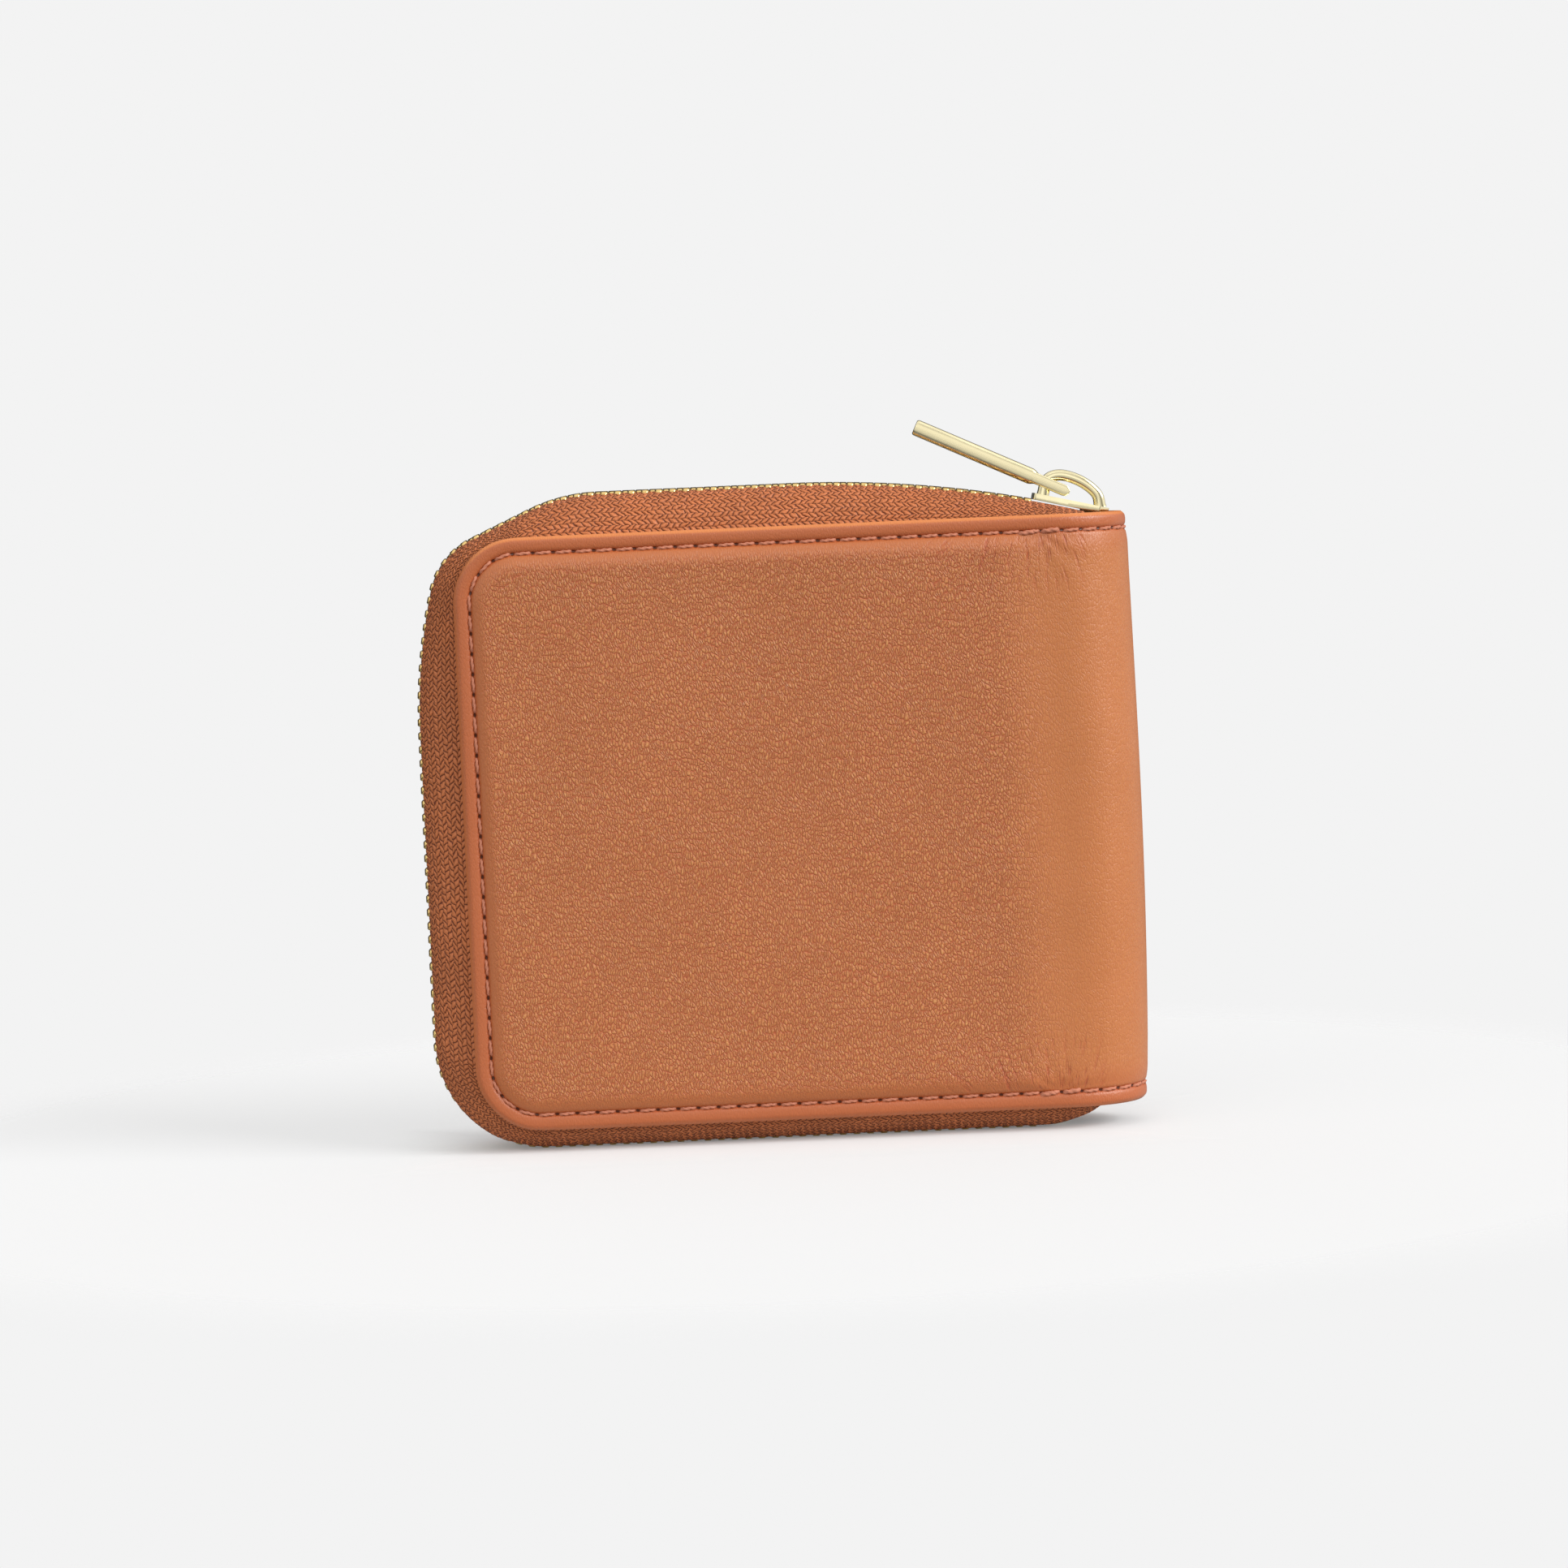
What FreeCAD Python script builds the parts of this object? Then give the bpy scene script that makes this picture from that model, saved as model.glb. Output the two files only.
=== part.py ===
import FreeCAD, Part
import math
import os

# Zip-around bifold wallet, closed, standing on the long lower run of its zip.
# X runs across the wallet with the spine at +X, Y is the depth with the front cover at -Y, Z is up.
# The origin is the middle of the bounding box, on the surface that the wallet stands on. Sizes are in mm.

# Driving dimensions of the leather case
COVER_HEIGHT = 91.0
COVER_FLAT = 91.0
SPINE_REACH = 12.3
HALF_DEPTH = 10.0
LEATHER = 1.4
COVER_CORNER = 10.0
HINGE_GAP = 0.1

# How far the zip gusset bulges past the covers' edges
BULGE_LEFT = 6.4
BULGE_TOP = 6.0
BULGE_BOTTOM = 3.6
TOP_ARC = 175.0
TOP_PEAK_X = 52.0
TOP_FLAT_X = 22.3
SHOULDER_ARC = 26.0
SHOULDER_TURN = 24.0
SHOULDER_RUN = 9.8
CORNER_UPPER = 11.5
CORNER_TURN = 76.0
CORNER_LOWER = 17.0
STRAIGHT = 0.01
TAPE = 0.5
TAPE_OUTER_Y = 8.4
TAPE_INNER_Y = 2.65
TAPE_SEAM = 0.7
TAPE_FULLNESS = 0.86
TAPE_END_X = 97.0
BOTTOM_RUN_END = 87.0
BOTTOM_RISE_ARC = 14.3

# Zip teeth, one row on each tape
TOOTH_PITCH = 2.1
TOOTH_LENGTH = 1.2
TOOTH_DEPTH = 1.48
TOOTH_FLUSH = 0.02
TOOTH_INNER_Y = 0.45
TOOTH_OUTER_Y = 2.6

# Slider, in its own frame: u along the zip, n outwards from the tape's outer face
SLIDER_X = 94.0
SLIDER_PLATE = 1.0
SLIDER_OVER = 0.25
SLIDER_UNDER = 1.75
SLIDER_OUTLINE = [(-5.0, 3.1), (0.4, 3.8), (5.4, 3.8), (6.8, 2.6)]
SLIDER_LIP = 0.6
WEB_FROM = 2.6
WEB_LENGTH = 2.0
WEB_THICKNESS = 0.6
SLIDER_PARK_GAP = 0.5
CROWN_WIDTH = 1.5

# Pull, hinged on a pin under the crown
PIN_U = -0.4
PIN_N = 2.55
PIN_RADIUS = 0.6
PULL_ANGLE = 25.4
PULL_LENGTH = 25.0
PULL_NECK = 4.6
PULL_HEIGHT = 2.5
PULL_WIDTH = 3.3
NECK_HEIGHT = 1.7
NECK_SLOT = 1.9

# Layers inside each half, as distances from the middle plane
BOARD_Y = (7.95, 8.55)
LINING_Y = (7.45, 7.9)
BILL_POCKET_Y = (6.7, 7.3)
CARD_LEAF = 0.65
CARD_STEP = 0.8
CARD_FIRST_Y = 5.95
CARD_COUNT = 4
CARD_TALLEST = 78.0
CARD_RISE = 9.0
COIN_BACK_Y = (5.9, 6.5)
COIN_FRONT_Y = (4.7, 5.3)

# Coin pocket's own small zip
COIN_ZIP_Z = 66.0
COIN_TAPE_HEIGHT = 8.0
COIN_TAPE = 0.4
COIN_TEETH_HEIGHT = 3.0
COIN_TEETH_DEPTH = 0.8
COIN_SLIDER_LENGTH = 7.0
COIN_SLIDER_HEIGHT = 5.4
COIN_SLIDER_X = 80.0
COIN_PULL_LENGTH = 12.0

# Places that follow from them, with X counted from the covers' left edge
BOTTOM = BULGE_BOTTOM
TOP = BOTTOM + COVER_HEIGHT
SPINE_X = COVER_FLAT + SPINE_REACH
ARC_Z = TOP + BULGE_TOP - TOP_ARC
SHIFT = FreeCAD.Vector(-(SPINE_X - BULGE_LEFT) / 2, 0, 0)


def point(x, y, z):
    return FreeCAD.Vector(x, y, z)


def box(x_range, y_range, z_range):
    corner = point(x_range[0], min(y_range), z_range[0])
    spans = [x_range[1] - x_range[0], abs(y_range[1] - y_range[0]), z_range[1] - z_range[0]]
    return Part.makeBox(spans[0], spans[1], spans[2], corner)


def layer(side, y_range):
    """The Y range of a layer in the front half (side -1) or the rear half (side +1)."""
    return sorted([side * y_range[0], side * y_range[1]])


def save(shape, name):
    placed = shape.copy()
    placed.translate(SHIFT)
    placed.exportStep(os.path.join("parts", name + ".step"))


def lerp(a, b, share):
    return a + (b - a) * share


def rounded_sheet(x_range, z_range, y_range, corner):
    """A flat sheet whose two left corners are round, as the covers' are."""
    left, right = x_range
    low, high = z_range
    y = y_range[0]
    diagonal = corner * (1 - math.sqrt(0.5))
    edges = [
        Part.LineSegment(point(right, y, high), point(left + corner, y, high)).toShape(),
        Part.Arc(
            point(left + corner, y, high),
            point(left + diagonal, y, high - diagonal),
            point(left, y, high - corner),
        ).toShape(),
        Part.LineSegment(point(left, y, high - corner), point(left, y, low + corner)).toShape(),
        Part.Arc(
            point(left, y, low + corner),
            point(left + diagonal, y, low + diagonal),
            point(left + corner, y, low),
        ).toShape(),
        Part.LineSegment(point(left + corner, y, low), point(right, y, low)).toShape(),
        Part.LineSegment(point(right, y, low), point(right, y, high)).toShape(),
    ]
    return Part.Face(Part.Wire(edges)).extrude(point(0, y_range[1] - y_range[0], 0))


def cover(side):
    """An outer leather panel, with its turned edge rounded over."""
    y_range = layer(side, (HALF_DEPTH - LEATHER, HALF_DEPTH))
    sheet = rounded_sheet((0, COVER_FLAT - HINGE_GAP), (BOTTOM, TOP), y_range, COVER_CORNER)
    outer_y = side * HALF_DEPTH
    rim = []
    for edge in sheet.Edges:
        centre = edge.CenterOfMass
        on_outer_face = abs(centre.y - outer_y) < 0.01
        at_hinge = abs(centre.x - (COVER_FLAT - HINGE_GAP)) < 0.01
        if on_outer_face and not at_hinge:
            rim.append(edge)
    return sheet.makeFillet(0.4, rim)


def spine_quarter(side, outer, thickness):
    """A quarter of the spine's oval, from a cover's edge to the middle of the spine, inset by outer."""

    def ellipse(inset):
        reach = SPINE_REACH - inset
        half = HALF_DEPTH - inset
        curve = Part.Ellipse(point(0, 0, 0), max(reach, half), min(reach, half))
        face = Part.Face(Part.Wire([curve.toShape()]))
        solid = face.extrude(point(0, 0, COVER_HEIGHT))
        solid.translate(point(COVER_FLAT, 0, BOTTOM))
        return solid

    ring = ellipse(outer).cut(ellipse(outer + thickness))
    y_range = layer(side, (HINGE_GAP, HALF_DEPTH + 1))
    keep = box((COVER_FLAT + HINGE_GAP, SPINE_X + 1), y_range, (BOTTOM - 1, TOP + 1))
    return ring.common(keep)


def arc_stretch(centre, radius, start, stop):
    """Start, middle and end (x, z) of an arc. Angles are in degrees from straight up, turning to the left."""
    stretch = []
    for share in (0, 0.5, 1):
        angle = math.radians(lerp(start, stop, share))
        stretch.append((centre[0] - radius * math.sin(angle), centre[1] + radius * math.cos(angle)))
    return stretch


def line_stretch(start, stop):
    """Start, middle and end (x, z) of a straight stretch."""
    return [start, (lerp(start[0], stop[0], 0.5), lerp(start[1], stop[1], 0.5)), stop]


def beyond(where, angle, distance):
    """The point at a distance from another, square to a stretch that has turned by an angle, towards the inside."""
    turn = math.radians(angle)
    return (where[0] + distance * math.sin(turn), where[1] - distance * math.cos(turn))


def sewn_route(inset):
    """The tape's outline where it is sewn under a cover's edge, in ten stretches."""
    left = TAPE_SEAM + inset
    high = TOP - TAPE_SEAM - inset
    low = BOTTOM + TAPE_SEAM + inset
    corner = COVER_CORNER - TAPE_SEAM - inset
    end = TAPE_END_X + 2 * inset
    peak = (TOP_PEAK_X, high + 0.25)
    shoulder = (TOP_FLAT_X, high + 0.15)
    upper = (left + corner, high - corner)
    lower = (left + corner, low + corner)
    return [
        [(end, high), (lerp(end, TOP_PEAK_X, 0.5), high + 0.2), peak],
        line_stretch(peak, shoulder),
        line_stretch(shoulder, (left + corner, high)),
        arc_stretch(upper, corner, 0, SHOULDER_TURN),
        arc_stretch(upper, corner, SHOULDER_TURN, CORNER_TURN),
        arc_stretch(upper, corner, CORNER_TURN, 90),
        line_stretch((left, high - corner), (left, low + corner)),
        arc_stretch(lower, corner, 90, 180),
        line_stretch((left + corner, low), (BOTTOM_RUN_END, low)),
        [(BOTTOM_RUN_END, low), (lerp(BOTTOM_RUN_END, end, 0.5), low - 0.1), (end, low)],
    ]


def chain_route(inset):
    """The tape's outline where it carries the teeth, in ten stretches.

    An arched run by the spine, a level top, a sloping shoulder, a tight upper corner that eases into
    the upright side, a round lower corner, and a flat foot that rises at its end.
    """
    left = -BULGE_LEFT + inset
    high = TOP + BULGE_TOP - inset
    corner = CORNER_UPPER - inset
    lower = CORNER_LOWER - inset
    rise_arc = BOTTOM_RISE_ARC - inset
    end = TAPE_END_X + 2 * inset
    first = -math.degrees(math.asin((end - TOP_PEAK_X) / (TOP_ARC - inset)))
    rise = math.degrees(math.asin((end - BOTTOM_RUN_END) / rise_arc))
    arch = arc_stretch((TOP_PEAK_X, ARC_Z), TOP_ARC - inset, first, 0)
    level = line_stretch(arch[-1], (TOP_FLAT_X, high))
    bend = arc_stretch(
        (TOP_FLAT_X, high + inset - SHOULDER_ARC), SHOULDER_ARC - inset, 0, SHOULDER_TURN
    )
    slope = math.radians(SHOULDER_TURN)
    slope_end = (
        bend[-1][0] - SHOULDER_RUN * math.cos(slope),
        bend[-1][1] - SHOULDER_RUN * math.sin(slope),
    )
    shoulder = line_stretch(bend[-1], slope_end)
    knuckle = arc_stretch(beyond(slope_end, SHOULDER_TURN, corner), corner, SHOULDER_TURN, CORNER_TURN)
    ease = (knuckle[-1][0] - left) / (1 - math.sin(math.radians(CORNER_TURN)))
    side = arc_stretch(beyond(knuckle[-1], CORNER_TURN, ease), ease, CORNER_TURN, 90)
    return [
        arch,
        level,
        bend,
        shoulder,
        knuckle,
        side,
        line_stretch(side[-1], (left, lower + inset)),
        arc_stretch((left + lower, inset + lower), lower, 90, 180),
        line_stretch((left + lower, inset), (BOTTOM_RUN_END, inset)),
        arc_stretch((BOTTOM_RUN_END, inset + rise_arc), rise_arc, 180, 180 + rise),
    ]


def outline_edges(route, y):
    """The edges of a tape outline, from its top right end round to its bottom right end."""
    edges = []
    for stretch in route:
        a, b, c = [point(x, y, z) for x, z in stretch]
        bow = (b - (a + c) * 0.5).Length
        edges.append(Part.Arc(a, b, c).toShape() if bow > STRAIGHT else Part.LineSegment(a, c).toShape())
    return edges


def gusset_core(side, inset):
    """The closed body under a tape's surface, from the seam under the cover to the row of teeth."""
    sewn = sewn_route(inset)
    chain = chain_route(inset)
    full = []
    for under, over in zip(sewn, chain):
        full.append([
            (lerp(a[0], b[0], TAPE_FULLNESS), lerp(a[1], b[1], TAPE_FULLNESS))
            for a, b in zip(under, over)
        ])
    levels = [
        (sewn, TAPE_OUTER_Y),
        (full, lerp(TAPE_OUTER_Y, TAPE_INNER_Y, 0.45)),
        (chain, TAPE_INNER_Y),
    ]
    wires = []
    for route, distance in levels:
        y = side * distance
        edges = outline_edges(route, y)
        last = point(route[-1][-1][0], y, route[-1][-1][1])
        first = point(route[0][0][0], y, route[0][0][1])
        edges.append(Part.LineSegment(last, first).toShape())
        wires.append(Part.Wire(edges))
    return Part.makeLoft(wires, True, True)


def slider_place(shape):
    """Moves a shape from the slider's own frame to the place on the arched top run where it parks."""
    placed = shape.copy()
    placed.rotate(point(0, 0, 0), point(0, 1, 0), slider_slope())
    radial = math.radians(slider_slope())
    placed.translate(
        point(
            TOP_PEAK_X + TOP_ARC * math.sin(radial),
            0,
            ARC_Z + TOP_ARC * math.cos(radial),
        )
    )
    return placed


def slider_slope():
    return math.degrees(math.asin((SLIDER_X - TOP_PEAK_X) / TOP_ARC))


def zip_tape(side):
    """One side's woven tape. It stops short of the spine, and the front tape leaves room for the parked slider."""
    tape = gusset_core(side, 0).cut(gusset_core(side, TAPE))
    y_range = layer(side, (0, HALF_DEPTH))
    clear = 0.15
    tape = tape.cut(
        box((COVER_FLAT - 0.3, TAPE_END_X + 9), y_range, (BOTTOM - clear, TOP + clear))
    )
    if side < 0:
        park = Part.makeBox(16.0, 5.4, 9.0, point(-5.0 - SLIDER_PARK_GAP, -4.4, -5.0))
        tape = tape.cut(slider_place(park))
    solids = sorted(tape.Solids, key=lambda s: s.Volume)
    return solids[-1]


def path_stations(edges, start, stop, pitch):
    """Points and tangents at equal steps along a run of edges."""
    stations = []
    along = start
    passed = 0.0
    for edge in edges:
        length = edge.Length
        while along <= min(passed + length, stop):
            parameter = edge.getParameterByLength(along - passed)
            stations.append((edge.valueAt(parameter), edge.tangentAt(parameter)))
            along += pitch
        passed += length
    return stations


def tooth_run():
    """Start and stop of the row of teeth, measured along the tape from its top right end."""
    slope = math.radians(slider_slope())
    end_angle = math.asin((TAPE_END_X - TOP_PEAK_X) / TOP_ARC)
    start = (end_angle - slope) * TOP_ARC + 5.0 + SLIDER_PARK_GAP + 0.3
    edges = outline_edges(chain_route(0), 0)
    stop = sum(edge.Length for edge in edges) - 11.0
    return edges, start, stop


def zip_teeth(side):
    """The row of metal teeth on one tape, flush with the tape's outer face."""
    edges, start, stop = tooth_run()
    shift = TOOTH_PITCH / 2 if side > 0 else 0
    teeth = []
    y_range = layer(side, (TOOTH_INNER_Y, TOOTH_OUTER_Y))
    for where, along in path_stations(edges, start + shift, stop, TOOTH_PITCH):
        tooth = Part.makeBox(
            TOOTH_LENGTH,
            y_range[1] - y_range[0],
            TOOTH_DEPTH,
            point(-TOOTH_LENGTH / 2, y_range[0], TOOTH_FLUSH),
        )
        turn = math.degrees(math.atan2(along.z, along.x))
        tooth.rotate(point(0, 0, 0), point(0, 1, 0), -turn)
        tooth.translate(where)
        teeth.append(tooth)
    return Part.makeCompound(teeth)


def bottom_stop(side):
    """The metal clamp that ends a row of teeth near the foot of the spine."""
    edges, _, stop = tooth_run()
    where, along = path_stations(edges, stop + TOOTH_PITCH * 1.3, stop + TOOTH_PITCH * 2, 9.0)[0]
    y_range = layer(side, (TOOTH_INNER_Y, TOOTH_OUTER_Y))
    stop_piece = Part.makeBox(
        2.4, y_range[1] - y_range[0], TOOTH_DEPTH, point(-1.2, y_range[0], TOOTH_FLUSH)
    )
    turn = math.degrees(math.atan2(along.z, along.x))
    stop_piece.rotate(point(0, 0, 0), point(0, 1, 0), -turn)
    stop_piece.translate(where)
    return stop_piece


def slider_plate(low):
    """One of the slider's two plates, with its wider nose towards the spine."""
    outline = [point(u, half, low) for u, half in SLIDER_OUTLINE]
    outline += [point(u, -half, low) for u, half in reversed(SLIDER_OUTLINE)]
    outline.append(outline[0])
    plate = Part.Face(Part.makePolygon(outline)).extrude(point(0, 0, SLIDER_PLATE))
    upright = [e for e in plate.Edges if abs(e.tangentAt(e.FirstParameter).z) > 0.9]
    return plate.makeFillet(0.5, upright)


def slider_body():
    """Two plates joined by the web that parts the rows of teeth, with lips that guide the tapes."""
    upper = slider_plate(SLIDER_OVER)
    lower = slider_plate(-SLIDER_UNDER - SLIDER_PLATE)
    web = Part.makeBox(
        WEB_LENGTH,
        WEB_THICKNESS,
        SLIDER_OVER + SLIDER_UNDER + 0.4,
        point(WEB_FROM, -WEB_THICKNESS / 2, -SLIDER_UNDER - 0.2),
    )
    body = upper.fuse(lower).fuse(web)
    for side in (-1, 1):
        y_range = layer(side, (3.05, 3.55))
        lip = box((-1.0, 3.6), y_range, (-SLIDER_UNDER - 0.1, -SLIDER_UNDER + SLIDER_LIP))
        body = body.fuse(lip)
    return slider_place(body.removeSplitter())


def slider_crown():
    """The arched loop on the slider that holds the pull. Its high side is over the pull's pin."""
    foot = SLIDER_OVER + SLIDER_PLATE
    outer = [(-4.2, foot), (-3.9, 3.9), (-1.6, 5.6), (2.1, 5.3), (5.3, 3.6), (6.6, foot)]
    inner = [(4.7, foot), (3.8, 2.5), (1.4, 3.6), (-1.0, 3.9), (-2.6, 3.0), (-2.75, foot)]
    outer_curve = Part.BSplineCurve()
    outer_curve.interpolate([point(u, -CROWN_WIDTH / 2, n) for u, n in outer])
    inner_curve = Part.BSplineCurve()
    inner_curve.interpolate([point(u, -CROWN_WIDTH / 2, n) for u, n in inner])
    foot_right = Part.LineSegment(outer_curve.EndPoint, inner_curve.StartPoint).toShape()
    foot_left = Part.LineSegment(inner_curve.EndPoint, outer_curve.StartPoint).toShape()
    wire = Part.Wire([outer_curve.toShape(), foot_right, inner_curve.toShape(), foot_left])
    return slider_place(Part.Face(wire).extrude(point(0, CROWN_WIDTH, 0)))


def pin_centre():
    """The pull's hinge pin, in the wallet's frame."""
    pin = slider_place(Part.Vertex(point(PIN_U, 0, PIN_N)))
    return pin.Point


def pull_tab():
    """The pull: a square bar whose narrow forked end straddles the crown and holds the pin."""
    bar = Part.makeBox(
        PULL_LENGTH - PULL_NECK,
        PULL_WIDTH,
        PULL_HEIGHT,
        point(-PULL_LENGTH, -PULL_WIDTH / 2, -PULL_HEIGHT / 2),
    )
    bar = bar.makeFillet(0.35, bar.Edges)
    radius = NECK_HEIGHT / 2
    eye = Part.makeCylinder(
        radius, PULL_WIDTH, point(0, -PULL_WIDTH / 2, 0), point(0, 1, 0)
    )
    shank = Part.makeBox(
        PULL_NECK + 0.8, PULL_WIDTH, NECK_HEIGHT, point(-PULL_NECK - 0.8, -PULL_WIDTH / 2, -radius)
    )
    neck = eye.fuse(shank)
    slot = Part.makeBox(
        PULL_NECK + radius, NECK_SLOT, NECK_HEIGHT + 1, point(-PULL_NECK + 0.2, -NECK_SLOT / 2, -radius - 0.5)
    )
    pin = Part.makeCylinder(
        PIN_RADIUS, NECK_SLOT + 0.4, point(0, -NECK_SLOT / 2 - 0.2, 0), point(0, 1, 0)
    )
    tab = bar.fuse(neck.cut(slot)).fuse(pin).removeSplitter()
    tab.rotate(point(0, 0, 0), point(0, 1, 0), PULL_ANGLE)
    tab.translate(pin_centre())
    return tab


def inner_sheet(side, y_range, x_range, z_range, corner):
    return rounded_sheet(x_range, z_range, layer(side, y_range), corner)


def half_layers(side, name):
    """What lies under a cover: stiffener board, lining and the full-width note pocket."""
    edge = 1.6
    right = COVER_FLAT - 0.8
    board = inner_sheet(side, BOARD_Y, (edge, right), (BOTTOM + edge, TOP - edge), 8.4)
    lining = inner_sheet(side, LINING_Y, (edge, right), (BOTTOM + edge, TOP - edge), 8.4)
    pocket = inner_sheet(side, BILL_POCKET_Y, (2.4, right - 0.4), (BOTTOM + 2.4, TOP - 6.0), 7.6)
    save(board, name + "_board")
    save(lining, name + "_lining")
    save(pocket, name + "_note_pocket")


def card_slots(side, name):
    """Stepped card pockets: each leaf nearer the middle is lower, so that every card's edge shows."""
    for index in range(CARD_COUNT):
        near = CARD_FIRST_Y - index * CARD_STEP
        high = BOTTOM + CARD_TALLEST - index * CARD_RISE
        leaf = inner_sheet(
            side, (near, near + CARD_LEAF), (2.8, COVER_FLAT - 2.4), (BOTTOM + 2.8, high), 4.0
        )
        save(leaf, f"{name}_card_slot_{index + 1}")


def coin_pocket():
    """The zipped coin pocket in the rear half: back panel, front panel, header, tape and teeth."""
    x_range = (2.8, COVER_FLAT - 2.4)
    low = BOTTOM + 2.8
    high = TOP - 10.0
    tape_low = COIN_ZIP_Z - COIN_TAPE_HEIGHT / 2
    tape_high = COIN_ZIP_Z + COIN_TAPE_HEIGHT / 2
    front_y = layer(1, COIN_FRONT_Y)
    save(inner_sheet(1, COIN_BACK_Y, x_range, (low, high), 4.0), "coin_pocket_back")
    save(box(x_range, front_y, (low + 4.0, tape_low - 0.1)), "coin_pocket_front")
    save(box(x_range, front_y, (tape_high + 0.1, high)), "coin_pocket_header")
    tape_y = (COIN_FRONT_Y[1] - COIN_TAPE, COIN_FRONT_Y[1])
    save(box(x_range, tape_y, (tape_low, tape_high)), "coin_zip_tape")
    teeth_y = (tape_y[0] - COIN_TEETH_DEPTH, tape_y[0])
    half = COIN_TEETH_HEIGHT / 2
    teeth = []
    x = x_range[0] + 1.5
    while x < x_range[1] - 2.0:
        teeth.append(box((x, x + 1.0), teeth_y, (COIN_ZIP_Z - half, COIN_ZIP_Z + half)))
        x += 2.0
    save(Part.makeCompound(teeth), "coin_zip_teeth")


def coin_slider():
    """The coin pocket's slider: a plate over the teeth with a rim above and below them, and its pull."""
    face_y = COIN_FRONT_Y[1] - COIN_TAPE - COIN_TEETH_DEPTH
    x_range = (COIN_SLIDER_X - COIN_SLIDER_LENGTH / 2, COIN_SLIDER_X + COIN_SLIDER_LENGTH / 2)
    half = COIN_SLIDER_HEIGHT / 2
    plate = box(x_range, (face_y - 0.9, face_y - 0.15), (COIN_ZIP_Z - half, COIN_ZIP_Z + half))
    body = plate
    for low in (COIN_ZIP_Z - half, COIN_ZIP_Z + half - 0.8):
        body = body.fuse(box(x_range, (face_y - 0.2, face_y + 0.6), (low, low + 0.8)))
    save(body.removeSplitter(), "coin_slider")
    pull_y = (face_y - 1.7, face_y - 0.95)
    pull_x = (COIN_SLIDER_X - COIN_PULL_LENGTH, COIN_SLIDER_X + 1.5)
    pull = box(pull_x, pull_y, (COIN_ZIP_Z - 1.5, COIN_ZIP_Z + 1.5))
    upright = [e for e in pull.Edges if abs(e.tangentAt(e.FirstParameter).y) > 0.9]
    save(pull.makeFillet(1.2, upright), "coin_pull")


def main():
    os.makedirs("parts", exist_ok=True)
    lining = LINING_Y[1] - LINING_Y[0]
    for side, name in ((-1, "front"), (1, "rear")):
        save(cover(side), name + "_cover")
        save(spine_quarter(side, 0, LEATHER), name + "_spine_leather")
        save(spine_quarter(side, LEATHER + 0.05, lining), name + "_spine_lining")
        save(zip_tape(side), name + "_zip_tape")
        save(zip_teeth(side), name + "_zip_teeth")
        save(bottom_stop(side), name + "_bottom_stop")
        half_layers(side, name)
    card_slots(-1, "front")
    coin_pocket()
    coin_slider()
    save(slider_body(), "slider_body")
    save(slider_crown(), "slider_crown")
    save(pull_tab(), "pull_tab")
    pin = pin_centre().add(SHIFT)
    print("pull pin", round(pin.x, 4), round(pin.z, 4))
    print("slider arc centre", round(TOP_PEAK_X + SHIFT.x, 4), round(ARC_Z, 4))
    print("spine apex", round(SPINE_X + SHIFT.x, 4), "cover hinge", round(COVER_FLAT + SHIFT.x, 4))


main()
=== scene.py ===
import math

import bmesh
import bpy
import numpy as np
from bpy.props import FloatProperty, FloatVectorProperty, IntProperty, PointerProperty
from mathutils import Matrix, Vector


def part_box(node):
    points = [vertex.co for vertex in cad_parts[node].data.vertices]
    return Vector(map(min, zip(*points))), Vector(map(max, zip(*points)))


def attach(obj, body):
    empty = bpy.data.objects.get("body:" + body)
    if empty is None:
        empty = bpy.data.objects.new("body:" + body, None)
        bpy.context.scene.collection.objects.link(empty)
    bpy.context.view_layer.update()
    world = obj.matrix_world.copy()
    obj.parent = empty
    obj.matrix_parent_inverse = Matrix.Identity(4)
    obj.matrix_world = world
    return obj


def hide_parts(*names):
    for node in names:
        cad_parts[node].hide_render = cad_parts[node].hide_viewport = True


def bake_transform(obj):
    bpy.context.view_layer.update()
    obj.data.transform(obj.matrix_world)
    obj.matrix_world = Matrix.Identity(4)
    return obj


bl_info = {
    "name": "Zip Around Wallet",
    "version": (1, 0, 0),
    "blender": (4, 5, 0),
    "location": "View3D > Sidebar > Wallet",
    "description": "Builds the leather, cloth, thread and metal of a zip around wallet on its fixed frame",
    "category": "Object",
}

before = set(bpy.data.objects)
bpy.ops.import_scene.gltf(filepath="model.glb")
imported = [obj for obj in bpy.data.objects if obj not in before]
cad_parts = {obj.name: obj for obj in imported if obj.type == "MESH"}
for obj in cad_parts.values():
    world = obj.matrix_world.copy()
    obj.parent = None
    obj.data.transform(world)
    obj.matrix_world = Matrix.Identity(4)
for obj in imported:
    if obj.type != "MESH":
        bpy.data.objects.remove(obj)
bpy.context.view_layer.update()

MM = 0.001

# Places taken from the frame
COVER_LOW, COVER_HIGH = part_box("front_cover")
SPINE_LOW, SPINE_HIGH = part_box("front_spine_leather")
TAPE_LOW, TAPE_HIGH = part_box("rear_zip_tape")
PULL_LOW, PULL_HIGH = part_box("pull_tab")
LEFT = COVER_LOW.x
FOLD_X = (COVER_HIGH.x + SPINE_LOW.x) / 2
SPINE_X = SPINE_HIGH.x
HALF_DEPTH = -COVER_LOW.y
BOTTOM = COVER_LOW.z
TOP = COVER_HIGH.z
HEIGHT = TOP - BOTTOM
FLAT = FOLD_X - LEFT
FRONT, REAR = -1, 1
KNIT_LEAN = 0.62
PULL_TILT = math.radians(25.4)
FAN_HEIGHT = 14.0 * MM

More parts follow.
